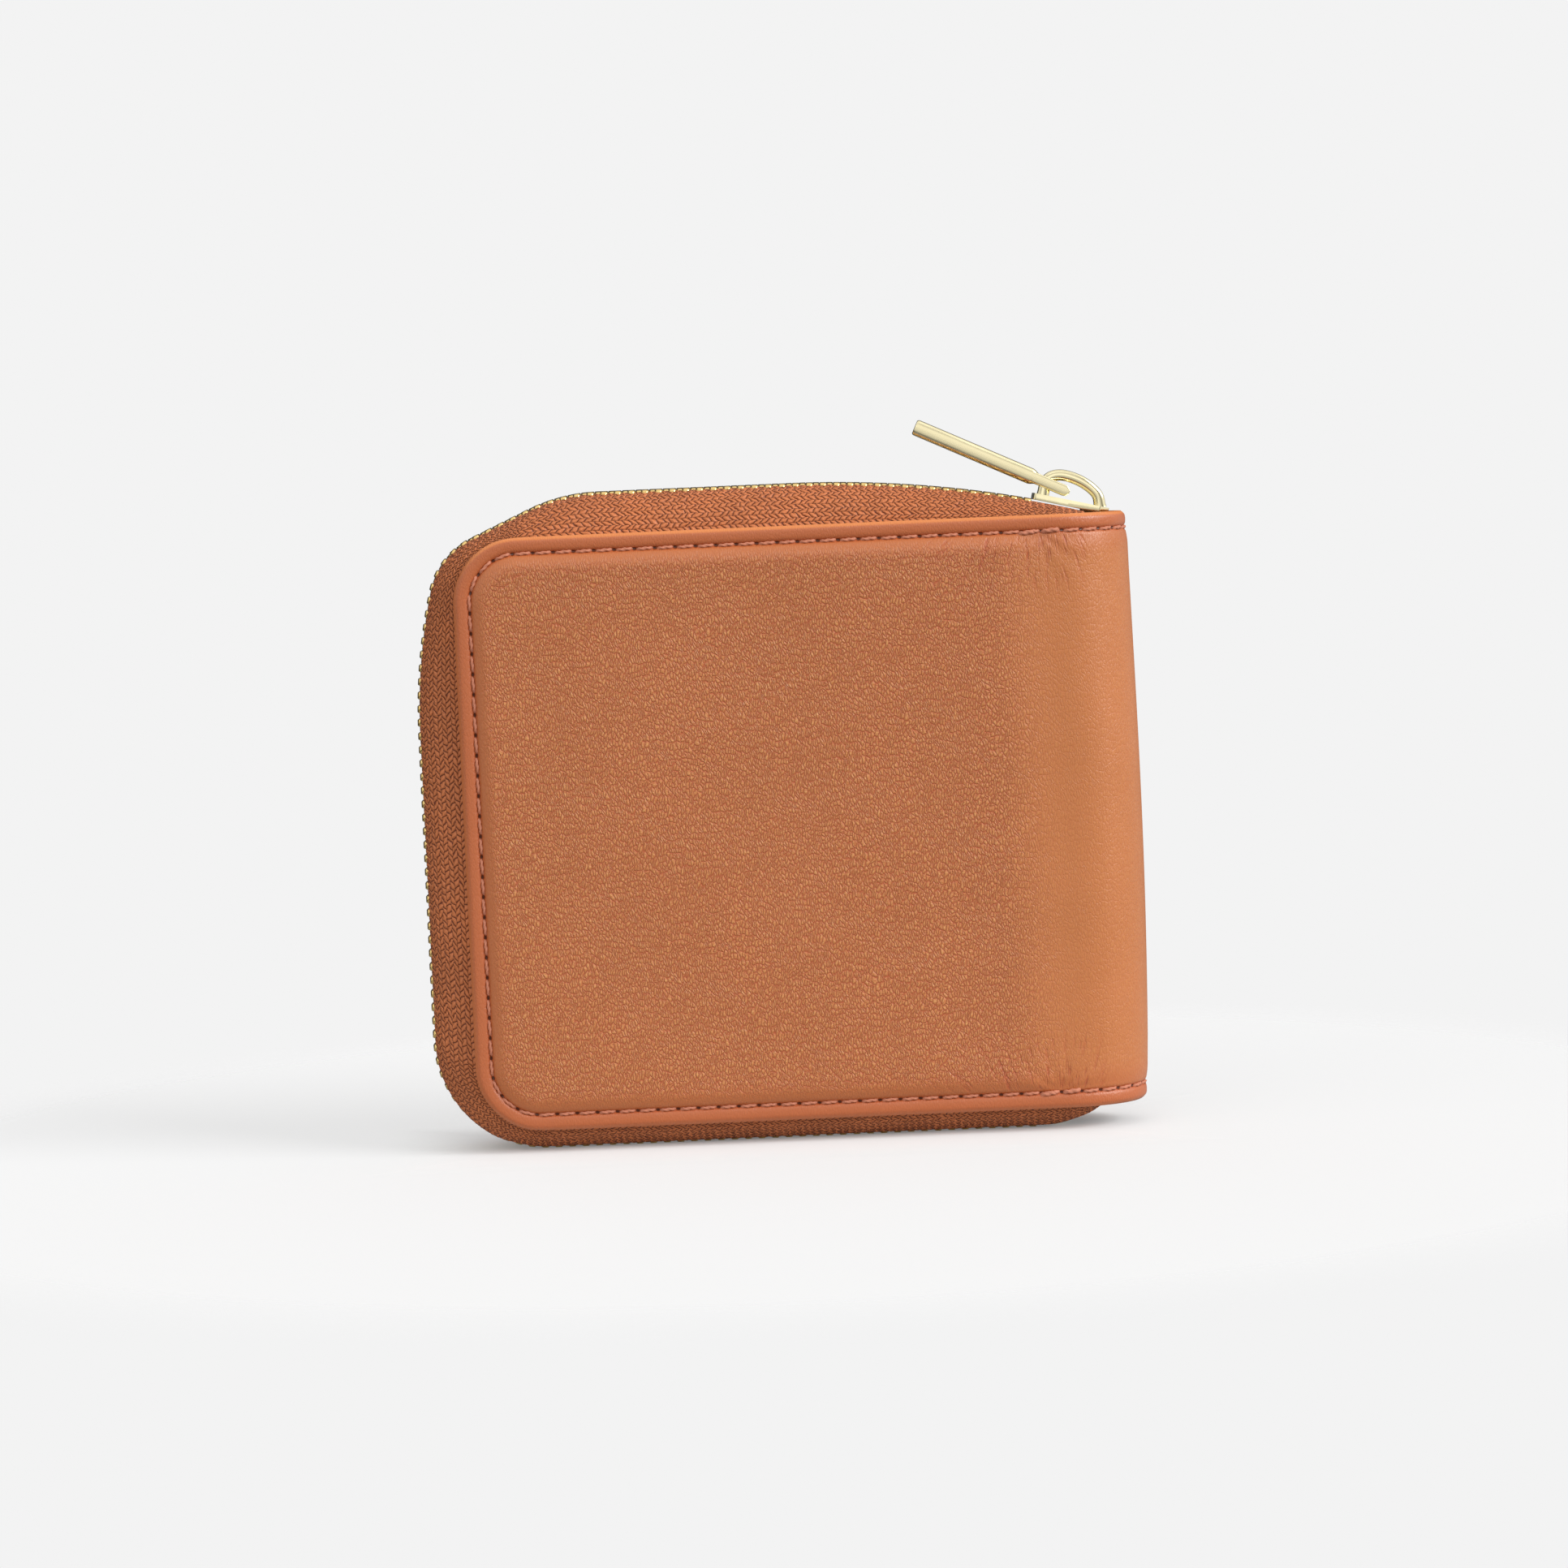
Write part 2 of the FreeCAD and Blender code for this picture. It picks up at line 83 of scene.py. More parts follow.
# The pull, measured out from its pin
BAR_START = 4.4 * MM
BAR_END = 24.98 * MM
BAR_DEPTH = 2.5 * MM
PRONG_DEPTH = 1.7 * MM
PRONG_GAP = 1.9 * MM
PIN_RADIUS = 0.6 * MM


# ---------------------------------------------------------------- settings


class WalletSizes(bpy.types.PropertyGroup):
    """Sizes of the soft and sewn details"""

    corner: FloatProperty(
        name="Cover corner", description="Radius of the covers' two round corners",
        default=10.0 * MM, unit="LENGTH",
    )
    leather: FloatProperty(
        name="Leather", description="Thickness of the turned leather edge", default=1.35 * MM, unit="LENGTH",
    )
    seam_inset: FloatProperty(
        name="Seam inset", description="Distance of the stitches from the edge",
        default=2.5 * MM, unit="LENGTH",
    )
    stitch_pitch: FloatProperty(
        name="Stitch pitch", description="Distance from one stitch to the next",
        default=3.1 * MM, unit="LENGTH",
    )
    stitch_length: FloatProperty(
        name="Stitch length", description="Length of thread that shows", default=2.75 * MM, unit="LENGTH",
    )
    thread: FloatProperty(
        name="Thread", description="Thickness of the sewing thread", default=0.50 * MM, unit="LENGTH",
    )
    puff: FloatProperty(
        name="Puff", description="How far the raised panel stands up inside the stitches",
        default=1.0 * MM, unit="LENGTH",
    )
    grain_cell: FloatProperty(
        name="Grain cell", description="Width of one pebble of the leather's grain",
        default=0.47 * MM, unit="LENGTH",
    )
    knit_row: FloatProperty(
        name="Tape row", description="Width of one row of the zip tape's weave",
        default=0.66 * MM, unit="LENGTH",
    )
    knit_step: FloatProperty(
        name="Tape step", description="Length of one strand of the zip tape's weave",
        default=1.02 * MM, unit="LENGTH",
    )
    tooth_pitch: FloatProperty(
        name="Tooth pitch", description="Distance between teeth on one tape",
        default=2.1 * MM, unit="LENGTH",
    )
    bar_tacks: IntProperty(
        name="Back stitches", description="Doubled stitches where the seam meets the spine",
        default=2, min=0,
    )


class WalletColours(bpy.types.PropertyGroup):
    """Colours of the wallet's materials"""

    leather: FloatVectorProperty(
        name="Leather", description="Main colour of the pebbled leather", subtype="COLOR", size=3,
        default=(0.430, 0.138, 0.034),
    )
    # Painted glint highlight: the lighter colour laid on the grain's raised cells where the speckle runs
    # high.
    leather_glint_highlight: FloatVectorProperty(
        name="Leather tops", description="Colour on the raised cells of the grain", subtype="COLOR", size=3,
        default=(0.60, 0.285, 0.098),
    )
    # Painted highlight along the rounded outer edge of the leather.
    leather_rim_highlight: FloatVectorProperty(
        name="Leather rim", description="Colour where the leather is stretched over its edge",
        subtype="COLOR", size=3, default=(0.66, 0.225, 0.055),
    )
    # Painted shade for the grain's creases, the puffed slope inside the stitches, the seam line and the tack
    # folds; also the deeper tone of the smooth border.
    leather_shade_and_deep_tone: FloatVectorProperty(
        name="Leather crease", description="Colour in the creases of the grain", subtype="COLOR", size=3,
        default=(0.36, 0.055, 0.014),
    )
    leather_edge: FloatVectorProperty(
        name="Leather edge", description="Colour of the turned edge", subtype="COLOR", size=3,
        default=(0.50, 0.165, 0.048),
    )
    thread: FloatVectorProperty(
        name="Thread", description="Colour of the sewing thread", subtype="COLOR", size=3,
        default=(0.36, 0.13, 0.075),
    )
    tape: FloatVectorProperty(
        name="Tape", description="Colour of the woven zip tape", subtype="COLOR", size=3,
        default=(0.47, 0.140, 0.045),
    )
    # Painted shade between the strands of the tape.
    tape_gap_shade: FloatVectorProperty(
        name="Tape gaps", description="Colour between the strands of the tape", subtype="COLOR", size=3,
        default=(0.15, 0.030, 0.011),
    )
    metal: FloatVectorProperty(
        name="Metal", description="Colour of the pale gold plating", subtype="COLOR", size=3,
        default=(0.90, 0.80, 0.50),
    )
    teeth: FloatVectorProperty(
        name="Teeth", description="Colour of the brass teeth", subtype="COLOR", size=3,
        default=(0.88, 0.62, 0.24),
    )
    lining: FloatVectorProperty(
        name="Lining", description="Colour of the lining cloth", subtype="COLOR", size=3,
        default=(0.30, 0.13, 0.06),
    )
    board: FloatVectorProperty(
        name="Board", description="Colour of the stiffener board", subtype="COLOR", size=3,
        default=(0.27, 0.18, 0.11),
    )


def sizes():
    return bpy.context.scene.wallet_sizes


def colours():
    return bpy.context.scene.wallet_colours


# ---------------------------------------------------------------- shader node groups


def new_group(name, inputs, outputs):
    """An empty shader node group with its sockets, and its input and output nodes."""
    group = bpy.data.node_groups.new(name, "ShaderNodeTree")
    for label, kind, default in inputs:
        socket = group.interface.new_socket(name=label, in_out="INPUT", socket_type=kind)
        if default is not None:
            socket.default_value = default
    for label, kind in outputs:
        group.interface.new_socket(name=label, in_out="OUTPUT", socket_type=kind)
    entry = group.nodes.new("NodeGroupInput")
    leave = group.nodes.new("NodeGroupOutput")
    return group, entry, leave


def maths(tree, operation, a, b=None, clamp=False):
    """A Math node. a and b are sockets or numbers."""
    node = tree.nodes.new("ShaderNodeMath")
    node.operation = operation
    node.use_clamp = clamp
    for index, value in enumerate((a, b)):
        if value is None:
            continue
        if isinstance(value, (int, float)):
            node.inputs[index].default_value = value
        else:
            tree.links.new(value, node.inputs[index])
    return node.outputs[0]


def times(tree, a, b):
    return maths(tree, "MULTIPLY", a, b)


def inverse(tree, value):
    """One minus value."""
    return maths(tree, "SUBTRACT", 1.0, value)


def ramp(tree, value, low, high):
    """A smooth step of value from low to high, as a number from 0 to 1."""
    node = tree.nodes.new("ShaderNodeMapRange")
    node.interpolation_type = "SMOOTHSTEP"
    node.inputs["From Min"].default_value = low
    node.inputs["From Max"].default_value = high
    tree.links.new(value, node.inputs["Value"])
    return node.outputs["Result"]


def mix_colour(tree, factor, a, b, blend="MIX"):
    """A colour mix. factor, a and b are sockets or values."""
    node = tree.nodes.new("ShaderNodeMix")
    node.data_type = "RGBA"
    node.blend_type = blend
    for socket, value in ((node.inputs[0], factor), (node.inputs[6], a), (node.inputs[7], b)):
        if isinstance(value, bpy.types.NodeSocket):
            tree.links.new(value, socket)
        elif isinstance(value, (int, float)):
            socket.default_value = value
        else:
            socket.default_value = (*value[:3], 1.0)
    return node.outputs[2]


def noise(tree, vector, scale, detail=3.0, roughness=0.5):
    node = tree.nodes.new("ShaderNodeTexNoise")
    node.inputs["Scale"].default_value = scale
    node.inputs["Detail"].default_value = detail
    node.inputs["Roughness"].default_value = roughness
    tree.links.new(vector, node.inputs["Vector"])
    return node


def attribute(tree, name):
    node = tree.nodes.new("ShaderNodeAttribute")
    node.attribute_name = name
    return node


def pebble_group():
    """Pebbled leather grain: raised cells of two sizes, with creases between them that come and go."""
    inputs = [("Vector", "NodeSocketVector", None), ("Scale", "NodeSocketFloat", 1300.0)]
    outputs = [("Height", "NodeSocketFloat"), ("Crease", "NodeSocketFloat")]
    group, entry, leave = new_group("Pebbled Grain", inputs, outputs)
    place = entry.outputs["Vector"]
    broad = noise(group, place, 60.0, 2.0)
    swirl = group.nodes.new("ShaderNodeVectorMath")
    swirl.operation = "MULTIPLY_ADD"
    swirl.inputs[1].default_value = (0.0035, 0.0035, 0.0)
    group.links.new(broad.outputs["Color"], swirl.inputs[0])
    group.links.new(place, swirl.inputs[2])
    warp = noise(group, place, 700.0, 2.0)
    shift = group.nodes.new("ShaderNodeVectorMath")
    shift.operation = "MULTIPLY_ADD"
    shift.inputs[1].default_value = (0.0008, 0.0008, 0.0)
    group.links.new(warp.outputs["Color"], shift.inputs[0])
    group.links.new(swirl.outputs[0], shift.inputs[2])
    stretch = group.nodes.new("ShaderNodeVectorMath")
    stretch.operation = "MULTIPLY"
    stretch.inputs[1].default_value = (1.22, 0.50, 0.0)
    group.links.new(shift.outputs[0], stretch.inputs[0])
    cells = []
    for factor in (1.0, 1.9):
        cell = group.nodes.new("ShaderNodeTexVoronoi")
        cell.feature = "DISTANCE_TO_EDGE"
        cell.voronoi_dimensions = "2D"
        group.links.new(stretch.outputs[0], cell.inputs["Vector"])
        scale = times(group, entry.outputs["Scale"], factor)
        group.links.new(scale, cell.inputs["Scale"])
        cells.append(cell.outputs["Distance"])
    large = ramp(group, cells[0], 0.0, 0.16)
    small = ramp(group, cells[1], 0.0, 0.22)
    fade_large = ramp(group, noise(group, place, 1500.0, 1.0).outputs["Fac"], 0.22, 0.46)
    fade_small = ramp(group, noise(group, place, 1100.0, 1.0).outputs["Fac"], 0.38, 0.62)
    large_cut = times(group, inverse(group, large), fade_large)
    small_cut = times(group, inverse(group, small), fade_small)
    cut = maths(group, "ADD", large_cut, times(group, small_cut, 0.6), clamp=True)
    dome = times(group, ramp(group, cells[0], 0.0, 0.5), 0.5)
    fine = noise(group, place, 3600.0, 2.0)
    top = maths(group, "ADD", dome, times(group, fine.outputs["Fac"], 0.3))
    group.links.new(maths(group, "SUBTRACT", top, times(group, cut, 0.6)), leave.inputs["Height"])
    group.links.new(cut, leave.inputs["Crease"])
    return group


def tack_fold_group():
    """Fine upright creases below a back stitched spot at the origin of Vector."""
    inputs = [("Vector", "NodeSocketVector", None), ("Scale", "NodeSocketFloat", 26.0)]
    outputs = [("Height", "NodeSocketFloat"), ("Mask", "NodeSocketFloat")]
    group, entry, leave = new_group("Tack Folds", inputs, outputs)
    parts = group.nodes.new("ShaderNodeSeparateXYZ")
    group.links.new(entry.outputs["Vector"], parts.inputs[0])
    beside, below = parts.outputs[0], parts.outputs[1]
    angle = maths(group, "ARCTAN2", beside, maths(group, "ADD", below, FAN_HEIGHT))
    fan = group.nodes.new("ShaderNodeCombineXYZ")
    group.links.new(angle, fan.inputs[0])
    group.links.new(times(group, below, 7.0), fan.inputs[1])
    ridges = noise(group, fan.outputs[0], 26.0, 2.0, 0.6)
    group.links.new(entry.outputs["Scale"], ridges.inputs["Scale"])
    near = inverse(group, ramp(group, below, 2.0 * MM, 12.0 * MM))
    mask = times(group, near, ramp(group, below, 0.2 * MM, 1.2 * MM))
    mask = times(group, mask, ramp(group, beside, -24.0 * MM, -7.0 * MM))
    mask = times(group, mask, inverse(group, ramp(group, beside, 3.0 * MM, 10.0 * MM)))
    group.links.new(ridges.outputs["Fac"], leave.inputs["Height"])
    group.links.new(mask, leave.inputs["Mask"])
    return group


def patina_group():
    """Slow variation of colour and gloss across a surface, and fine speckle."""
    inputs = [("Vector", "NodeSocketVector", None), ("Scale", "NodeSocketFloat", 40.0)]
    outputs = [("Cloud", "NodeSocketFloat"), ("Speckle", "NodeSocketFloat")]
    group, entry, leave = new_group("Patina", inputs, outputs)
    cloud = noise(group, entry.outputs["Vector"], 40.0, 4.0, 0.6)
    group.links.new(entry.outputs["Scale"], cloud.inputs["Scale"])
    speckle = noise(group, entry.outputs["Vector"], 3400.0, 2.0)
    group.links.new(ramp(group, cloud.outputs["Fac"], 0.3, 0.7), leave.inputs["Cloud"])
    group.links.new(speckle.outputs["Fac"], leave.inputs["Speckle"])
    return group


def knit_group():
    """Woven tape: rows of short strands that lean one way, then the other. Vector is (along, across, 0)."""
    inputs = [
        ("Vector", "NodeSocketVector", None),
        ("Scale", "NodeSocketFloat", 1000.0),
        ("Row", "NodeSocketFloat", 0.0009),
    ]
    outputs = [("Height", "NodeSocketFloat"), ("Gap", "NodeSocketFloat")]
    group, entry, leave = new_group("Knit", inputs, outputs)
    wobble = noise(group, entry.outputs["Vector"], 900.0, 1.0)
    shift = group.nodes.new("ShaderNodeVectorMath")
    shift.operation = "MULTIPLY_ADD"
    shift.inputs[1].default_value = (0.0009, 0.0005, 0.0)
    group.links.new(wobble.outputs["Color"], shift.inputs[0])
    group.links.new(entry.outputs["Vector"], shift.inputs[2])
    parts = group.nodes.new("ShaderNodeSeparateXYZ")
    group.links.new(shift.outputs[0], parts.inputs[0])
    row = maths(group, "DIVIDE", parts.outputs[1], entry.outputs["Row"])
    within = maths(group, "FRACT", row)
    parity = maths(group, "MODULO", maths(group, "FLOOR", row), 2.0)
    lean = maths(group, "SUBTRACT", times(group, parity, -2.0), -1.0)
    slant = times(group, times(group, maths(group, "SUBTRACT", within, 0.5), KNIT_LEAN), lean)
    phase = times(group, parts.outputs[0], entry.outputs["Scale"])
    phase = maths(group, "ADD", maths(group, "ADD", phase, slant), times(group, parity, 0.5))
    strand = maths(group, "ABSOLUTE", maths(group, "COSINE", times(group, phase, math.pi)))
    strand = maths(group, "POWER", strand, 0.7)
    bulge = maths(group, "POWER", maths(group, "SINE", times(group, within, math.pi)), 0.6)
    height = times(group, strand, maths(group, "ADD", times(group, bulge, 0.6), 0.4))
    group.links.new(height, leave.inputs["Height"])
    group.links.new(inverse(group, ramp(group, height, 0.12, 0.6)), leave.inputs["Gap"])
    return group


def twill_group():
    """Diagonal woven ribs for lining cloth."""
    inputs = [("Vector", "NodeSocketVector", None), ("Scale", "NodeSocketFloat", 900.0)]
    outputs = [("Height", "NodeSocketFloat")]
    group, entry, leave = new_group("Twill", inputs, outputs)
    parts = group.nodes.new("ShaderNodeSeparateXYZ")
    group.links.new(entry.outputs["Vector"], parts.inputs[0])
    diagonal = maths(group, "ADD", parts.outputs[0], parts.outputs[1])
    across = maths(group, "SUBTRACT", parts.outputs[0], parts.outputs[1])
    turns = times(group, entry.outputs["Scale"], 2 * math.pi)
    rib = maths(group, "SINE", times(group, diagonal, turns))
    pick = maths(group, "SINE", times(group, across, turns))
    height = maths(group, "MULTIPLY_ADD", rib, 0.35)
    group.links.new(maths(group, "ADD", height, times(group, pick, 0.12)), leave.inputs["Height"])
    return group


def shared_group(name, maker):
    return bpy.data.node_groups.get(name) or maker()


def place_group(tree, name, maker, vector, scale):
    node = tree.nodes.new("ShaderNodeGroup")
    node.node_tree = shared_group(name, maker)
    tree.links.new(vector, node.inputs["Vector"])
    node.inputs["Scale"].default_value = scale
    return node


# ---------------------------------------------------------------- materials


def new_material(name, roughness, metallic=0.0, specular=0.5):
    material = bpy.data.materials.new(name)
    material.use_nodes = True
    tree = material.node_tree
    shader = tree.nodes["Principled BSDF"]
    shader.inputs["Roughness"].default_value = roughness
    shader.inputs["Metallic"].default_value = metallic
    shader.inputs["Specular IOR Level"].default_value = specular
    return material, tree, shader


def bump(tree, shader, height, distance, strength=1.0, under=None):
    node = tree.nodes.new("ShaderNodeBump")
    node.inputs["Distance"].default_value = distance
    node.inputs["Strength"].default_value = strength
    tree.links.new(height, node.inputs["Height"])
    if under is not None:
        tree.links.new(under, node.inputs["Normal"])
    tree.links.new(node.outputs["Normal"], shader.inputs["Normal"])
    return node.outputs["Normal"]


def pebbled_leather():
    """Soft full-grain leather. Attributes on the mesh say where the grain is open and the seam runs."""
    material, tree, shader = new_material("pebbled_leather", 0.45, specular=0.55)
    place = attribute(tree, "skin_place").outputs["Vector"]
    grain = attribute(tree, "grain").outputs["Fac"]
    inset = attribute(tree, "edge_inset").outputs["Fac"]
    along = attribute(tree, "seam_along").outputs["Fac"]
    beside = attribute(tree, "tack_place").outputs["Vector"]
    pebble = place_group(tree, "Pebbled Grain", pebble_group, place, 1.0 / sizes().grain_cell)
    patina = place_group(tree, "Patina", patina_group, place, 45.0)
    folds = place_group(tree, "Tack Folds", tack_fold_group, beside, 26.0)
    crease = times(tree, pebble.outputs["Crease"], grain)
    tint = colours()
    cloud = times(tree, patina.outputs["Cloud"], 0.35)
    base = mix_colour(tree, cloud, tint.leather, tint.leather_edge)
    # Painted glint highlights: the grain's raised cells lightened in a fine speckle.
    glint = ramp(tree, patina.outputs["Speckle"], 0.38, 0.66)
    tops = times(tree, ramp(tree, pebble.outputs["Height"], 0.15, 0.75), glint)
    base = mix_colour(tree, times(tree, tops, grain), base, tint.leather_glint_highlight)
    border = inverse(tree, ramp(tree, inset, 2.4 * MM, 3.0 * MM))
    base = mix_colour(tree, times(tree, border, 0.30), base, tint.leather_shade_and_deep_tone)
    # Painted shade on the puffed slope just inside the stitches, a darker band all round the panel.
    band = inverse(tree, ramp(tree, inset, 3.0 * MM, 7.5 * MM))
    base = mix_colour(tree, times(tree, band, 0.26), base, tint.leather_shade_and_deep_tone)
    parts = tree.nodes.new("ShaderNodeSeparateXYZ")
    tree.links.new(place, parts.inputs[0])
    # Painted highlight on the rounded outer edge: strong along the top edge, which faces the light, weak on
    # the other edges.
    upper = ramp(tree, parts.outputs[1], HEIGHT - 6 * MM, HEIGHT - 1 * MM)
    top_highlight_strength = maths(tree, "ADD", times(tree, upper, 0.5), 0.15)
    rim = inverse(tree, ramp(tree, inset, 0.25 * MM, 0.65 * MM))
    base = mix_colour(tree, times(tree, rim, top_highlight_strength), base, tint.leather_rim_highlight)
    # Painted shade in the grain's creases.
    base = mix_colour(tree, times(tree, crease, 0.7), base, tint.leather_shade_and_deep_tone)
    # Painted shade in the fine folds below the back stitched spots.
    furrow = times(tree, inverse(tree, ramp(tree, folds.outputs["Height"], 0.3, 0.5)),
                   folds.outputs["Mask"])
    base = mix_colour(tree, times(tree, furrow, 0.7), base, tint.leather_shade_and_deep_tone)
    pitch = sizes().stitch_pitch
    fraction = maths(tree, "FRACT", maths(tree, "DIVIDE", along, pitch))
    from_hole = times(tree, maths(tree, "PINGPONG", fraction, 0.5), pitch)
    off_line = maths(tree, "SUBTRACT", inset, sizes().seam_inset)
    reach = maths(tree, "SQRT", maths(tree, "ADD", maths(tree, "POWER", from_hole, 2.0),
                                      maths(tree, "POWER", times(tree, off_line, 1.5), 2.0)))
    hole = inverse(tree, ramp(tree, reach, 0.16 * MM, 0.46 * MM))
    # Painted shade along the sunken seam line.
    line = inverse(tree, ramp(tree, maths(tree, "ABSOLUTE", off_line), 0.1 * MM, 0.6 * MM))
    base = mix_colour(tree, times(tree, line, 0.5), base, tint.leather_shade_and_deep_tone)
    # Painted shade: the stitch holes darkened to near black.
    base = mix_colour(tree, times(tree, hole, 0.9), base, (0.05, 0.014, 0.008))
    tree.links.new(base, shader.inputs["Base Color"])
    rough = maths(tree, "ADD", times(tree, patina.outputs["Speckle"], 0.14), 0.34)
    rough = maths(tree, "ADD", rough, times(tree, crease, 0.25))
    tree.links.new(rough, shader.inputs["Roughness"])
    height = times(tree, pebble.outputs["Height"], maths(tree, "ADD", grain, 0.10))
    deep = maths(tree, "SUBTRACT", height, times(tree, hole, 1.2))
    deep = maths(tree, "SUBTRACT", deep, times(tree, furrow, 1.3))
    bump(tree, shader, deep, 0.10 * MM, 1.0)
    return material


def edge_leather():
    """The folded edge of the leather: smooth, a little glossier, with a fine speckled bump."""
    material, tree, shader = new_material("turned_edge", 0.4)
    place = attribute(tree, "skin_place").outputs["Vector"]
    patina = place_group(tree, "Patina", patina_group, place, 300.0)
    tint = colours()
    base = mix_colour(tree, patina.outputs["Cloud"], tint.leather_edge, tint.leather)
    tree.links.new(base, shader.inputs["Base Color"])
    bump(tree, shader, patina.outputs["Speckle"], 0.05 * MM, 0.6)
    return material


def sewing_thread():
    material, tree, shader = new_material("sewing_thread", 0.6, specular=0.35)
    place = tree.nodes.new("ShaderNodeTexCoord").outputs["Object"]
    fibres = noise(tree, place, 5200.0, 3.0)
    tint = colours()
    light = [min(1.0, c * 1.6) for c in tint.thread]
    tree.links.new(mix_colour(tree, fibres.outputs["Fac"], tint.thread, light), shader.inputs["Base Color"])
    bump(tree, shader, fibres.outputs["Fac"], 0.05 * MM, 0.7)
    return material


def zip_cloth():
    """Woven tape. The mesh carries the strands, and this adds painted shade between them and fine fibre."""
    material, tree, shader = new_material("woven_tape", 0.55, specular=0.4)
    place = attribute(tree, "skin_place").outputs["Vector"]
    knit = place_group(tree, "Knit", knit_group, place, 1.0 / sizes().knit_step)
    knit.inputs["Row"].default_value = sizes().knit_row
    fibres = noise(tree, place, 6500.0, 2.0)
    patina = place_group(tree, "Patina", patina_group, place, 120.0)
    tint = colours()
    light = [min(1.0, c * 1.35) for c in tint.tape]
    base = mix_colour(tree, times(tree, patina.outputs["Cloud"], 0.5), tint.tape, light)
    # Painted shade in the gaps between the strands.
    base = mix_colour(tree, knit.outputs["Gap"], base, tint.tape_gap_shade)
    tree.links.new(base, shader.inputs["Base Color"])
    height = maths(tree, "ADD", knit.outputs["Height"], times(tree, fibres.outputs["Fac"], 0.12))
    bump(tree, shader, height, 0.3 * MM, 1.0)
    return material


def gold_metal(name, colour, roughness, brushed):
    """Pale gold plating, polished or with fine brush lines along the part."""
    material, tree, shader = new_material(name, roughness, metallic=1.0)
    place = tree.nodes.new("ShaderNodeTexCoord").outputs["Object"]
    stretch = tree.nodes.new("ShaderNodeMapping")
    stretch.vector_type = "TEXTURE"
    stretch.inputs["Rotation"].default_value = (0.0, PULL_TILT, 0.0)
    stretch.inputs["Scale"].default_value = (24.0, 1.0, 1.0) if brushed else (1.0, 1.0, 1.0)
    tree.links.new(place, stretch.inputs["Vector"])
    lines = noise(tree, stretch.outputs["Vector"], 6000.0 if brushed else 600.0, 2.0)
    deep = [c * 0.82 for c in colour]
    tree.links.new(mix_colour(tree, lines.outputs["Fac"], deep, colour), shader.inputs["Base Color"])
    spread = 0.18 if brushed else 0.06
    rough = maths(tree, "ADD", times(tree, lines.outputs["Fac"], spread), roughness - spread / 2)
    tree.links.new(rough, shader.inputs["Roughness"])
    bump(tree, shader, lines.outputs["Fac"], 0.006 * MM, 0.5)
    return material


def lining_cloth():
    material, tree, shader = new_material("lining_twill", 0.7, specular=0.3)
    place = attribute(tree, "skin_place").outputs["Vector"]
    twill = place_group(tree, "Twill", twill_group, place, 1500.0)
    patina = place_group(tree, "Patina", patina_group, place, 80.0)
    tint = colours()
    light = [min(1.0, c * 1.35) for c in tint.lining]
    base = mix_colour(tree, ramp(tree, twill.outputs["Height"], 0.0, 1.0), tint.lining, light)
    base = mix_colour(tree, times(tree, patina.outputs["Cloud"], 0.2), base, tint.leather)
    tree.links.new(base, shader.inputs["Base Color"])
    bump(tree, shader, twill.outputs["Height"], 0.08 * MM, 0.8)
    shader.inputs["Sheen Weight"].default_value = 0.2
    return material


def fibre_board():
    material, tree, shader = new_material("fibre_board", 0.8, specular=0.2)
    place = tree.nodes.new("ShaderNodeTexCoord").outputs["Object"]
    fibres = noise(tree, place, 1500.0, 5.0, 0.7)
    tint = colours()
    light = [min(1.0, c * 1.5) for c in tint.board]
    tree.links.new(mix_colour(tree, fibres.outputs["Fac"], tint.board, light), shader.inputs["Base Color"])
    bump(tree, shader, fibres.outputs["Fac"], 0.1 * MM, 0.7)
    return material


MATERIAL_MAKERS = {
    "pebbled_leather": pebbled_leather,
    "turned_edge": edge_leather,
    "sewing_thread": sewing_thread,
    "woven_tape": zip_cloth,
    "polished_gold": lambda: gold_metal("polished_gold", colours().metal, 0.13, False),
    "brushed_gold": lambda: gold_metal("brushed_gold", colours().metal, 0.24, True),
    "brass": lambda: gold_metal("brass", colours().teeth, 0.2, False),
    "lining_twill": lining_cloth,
    "fibre_board": fibre_board,
}


def material(name):
    return bpy.data.materials.get(name) or MATERIAL_MAKERS[name]()


# ---------------------------------------------------------------- mesh building


def smoothstep(x):
    t = np.clip(x, 0.0, 1.0)
    return t * t * (3 - 2 * t)


def grid_faces(rows, columns, offset=0, flip=False):
    """Quads of a grid of rows by columns points, as rows of four indices."""
    index = np.arange(rows * columns).reshape(rows, columns) + offset
    quads = np.stack([index[:-1, :-1], index[:-1, 1:], index[1:, 1:], index[1:, :-1]], -1).reshape(-1, 4)
    return quads[:, ::-1] if flip else quads


def rim_faces(rows, columns, offset):
    """Quads that join the outlines of an outer grid and of an inner grid that starts at offset."""
    index = np.arange(rows * columns).reshape(rows, columns)
    ring = np.concatenate([index[0, :-1], index[:-1, -1], index[-1, :0:-1], index[:0:-1, 0]])
    after = np.roll(ring, -1)
    return np.stack([after, ring, ring + offset, after + offset], -1)


def turn_outward(mesh):
    """Points every face of closed loose parts outward."""
    form = bmesh.new()
    form.from_mesh(mesh)
    bmesh.ops.recalc_face_normals(form, faces=form.faces)
    form.to_mesh(mesh)
    form.free()


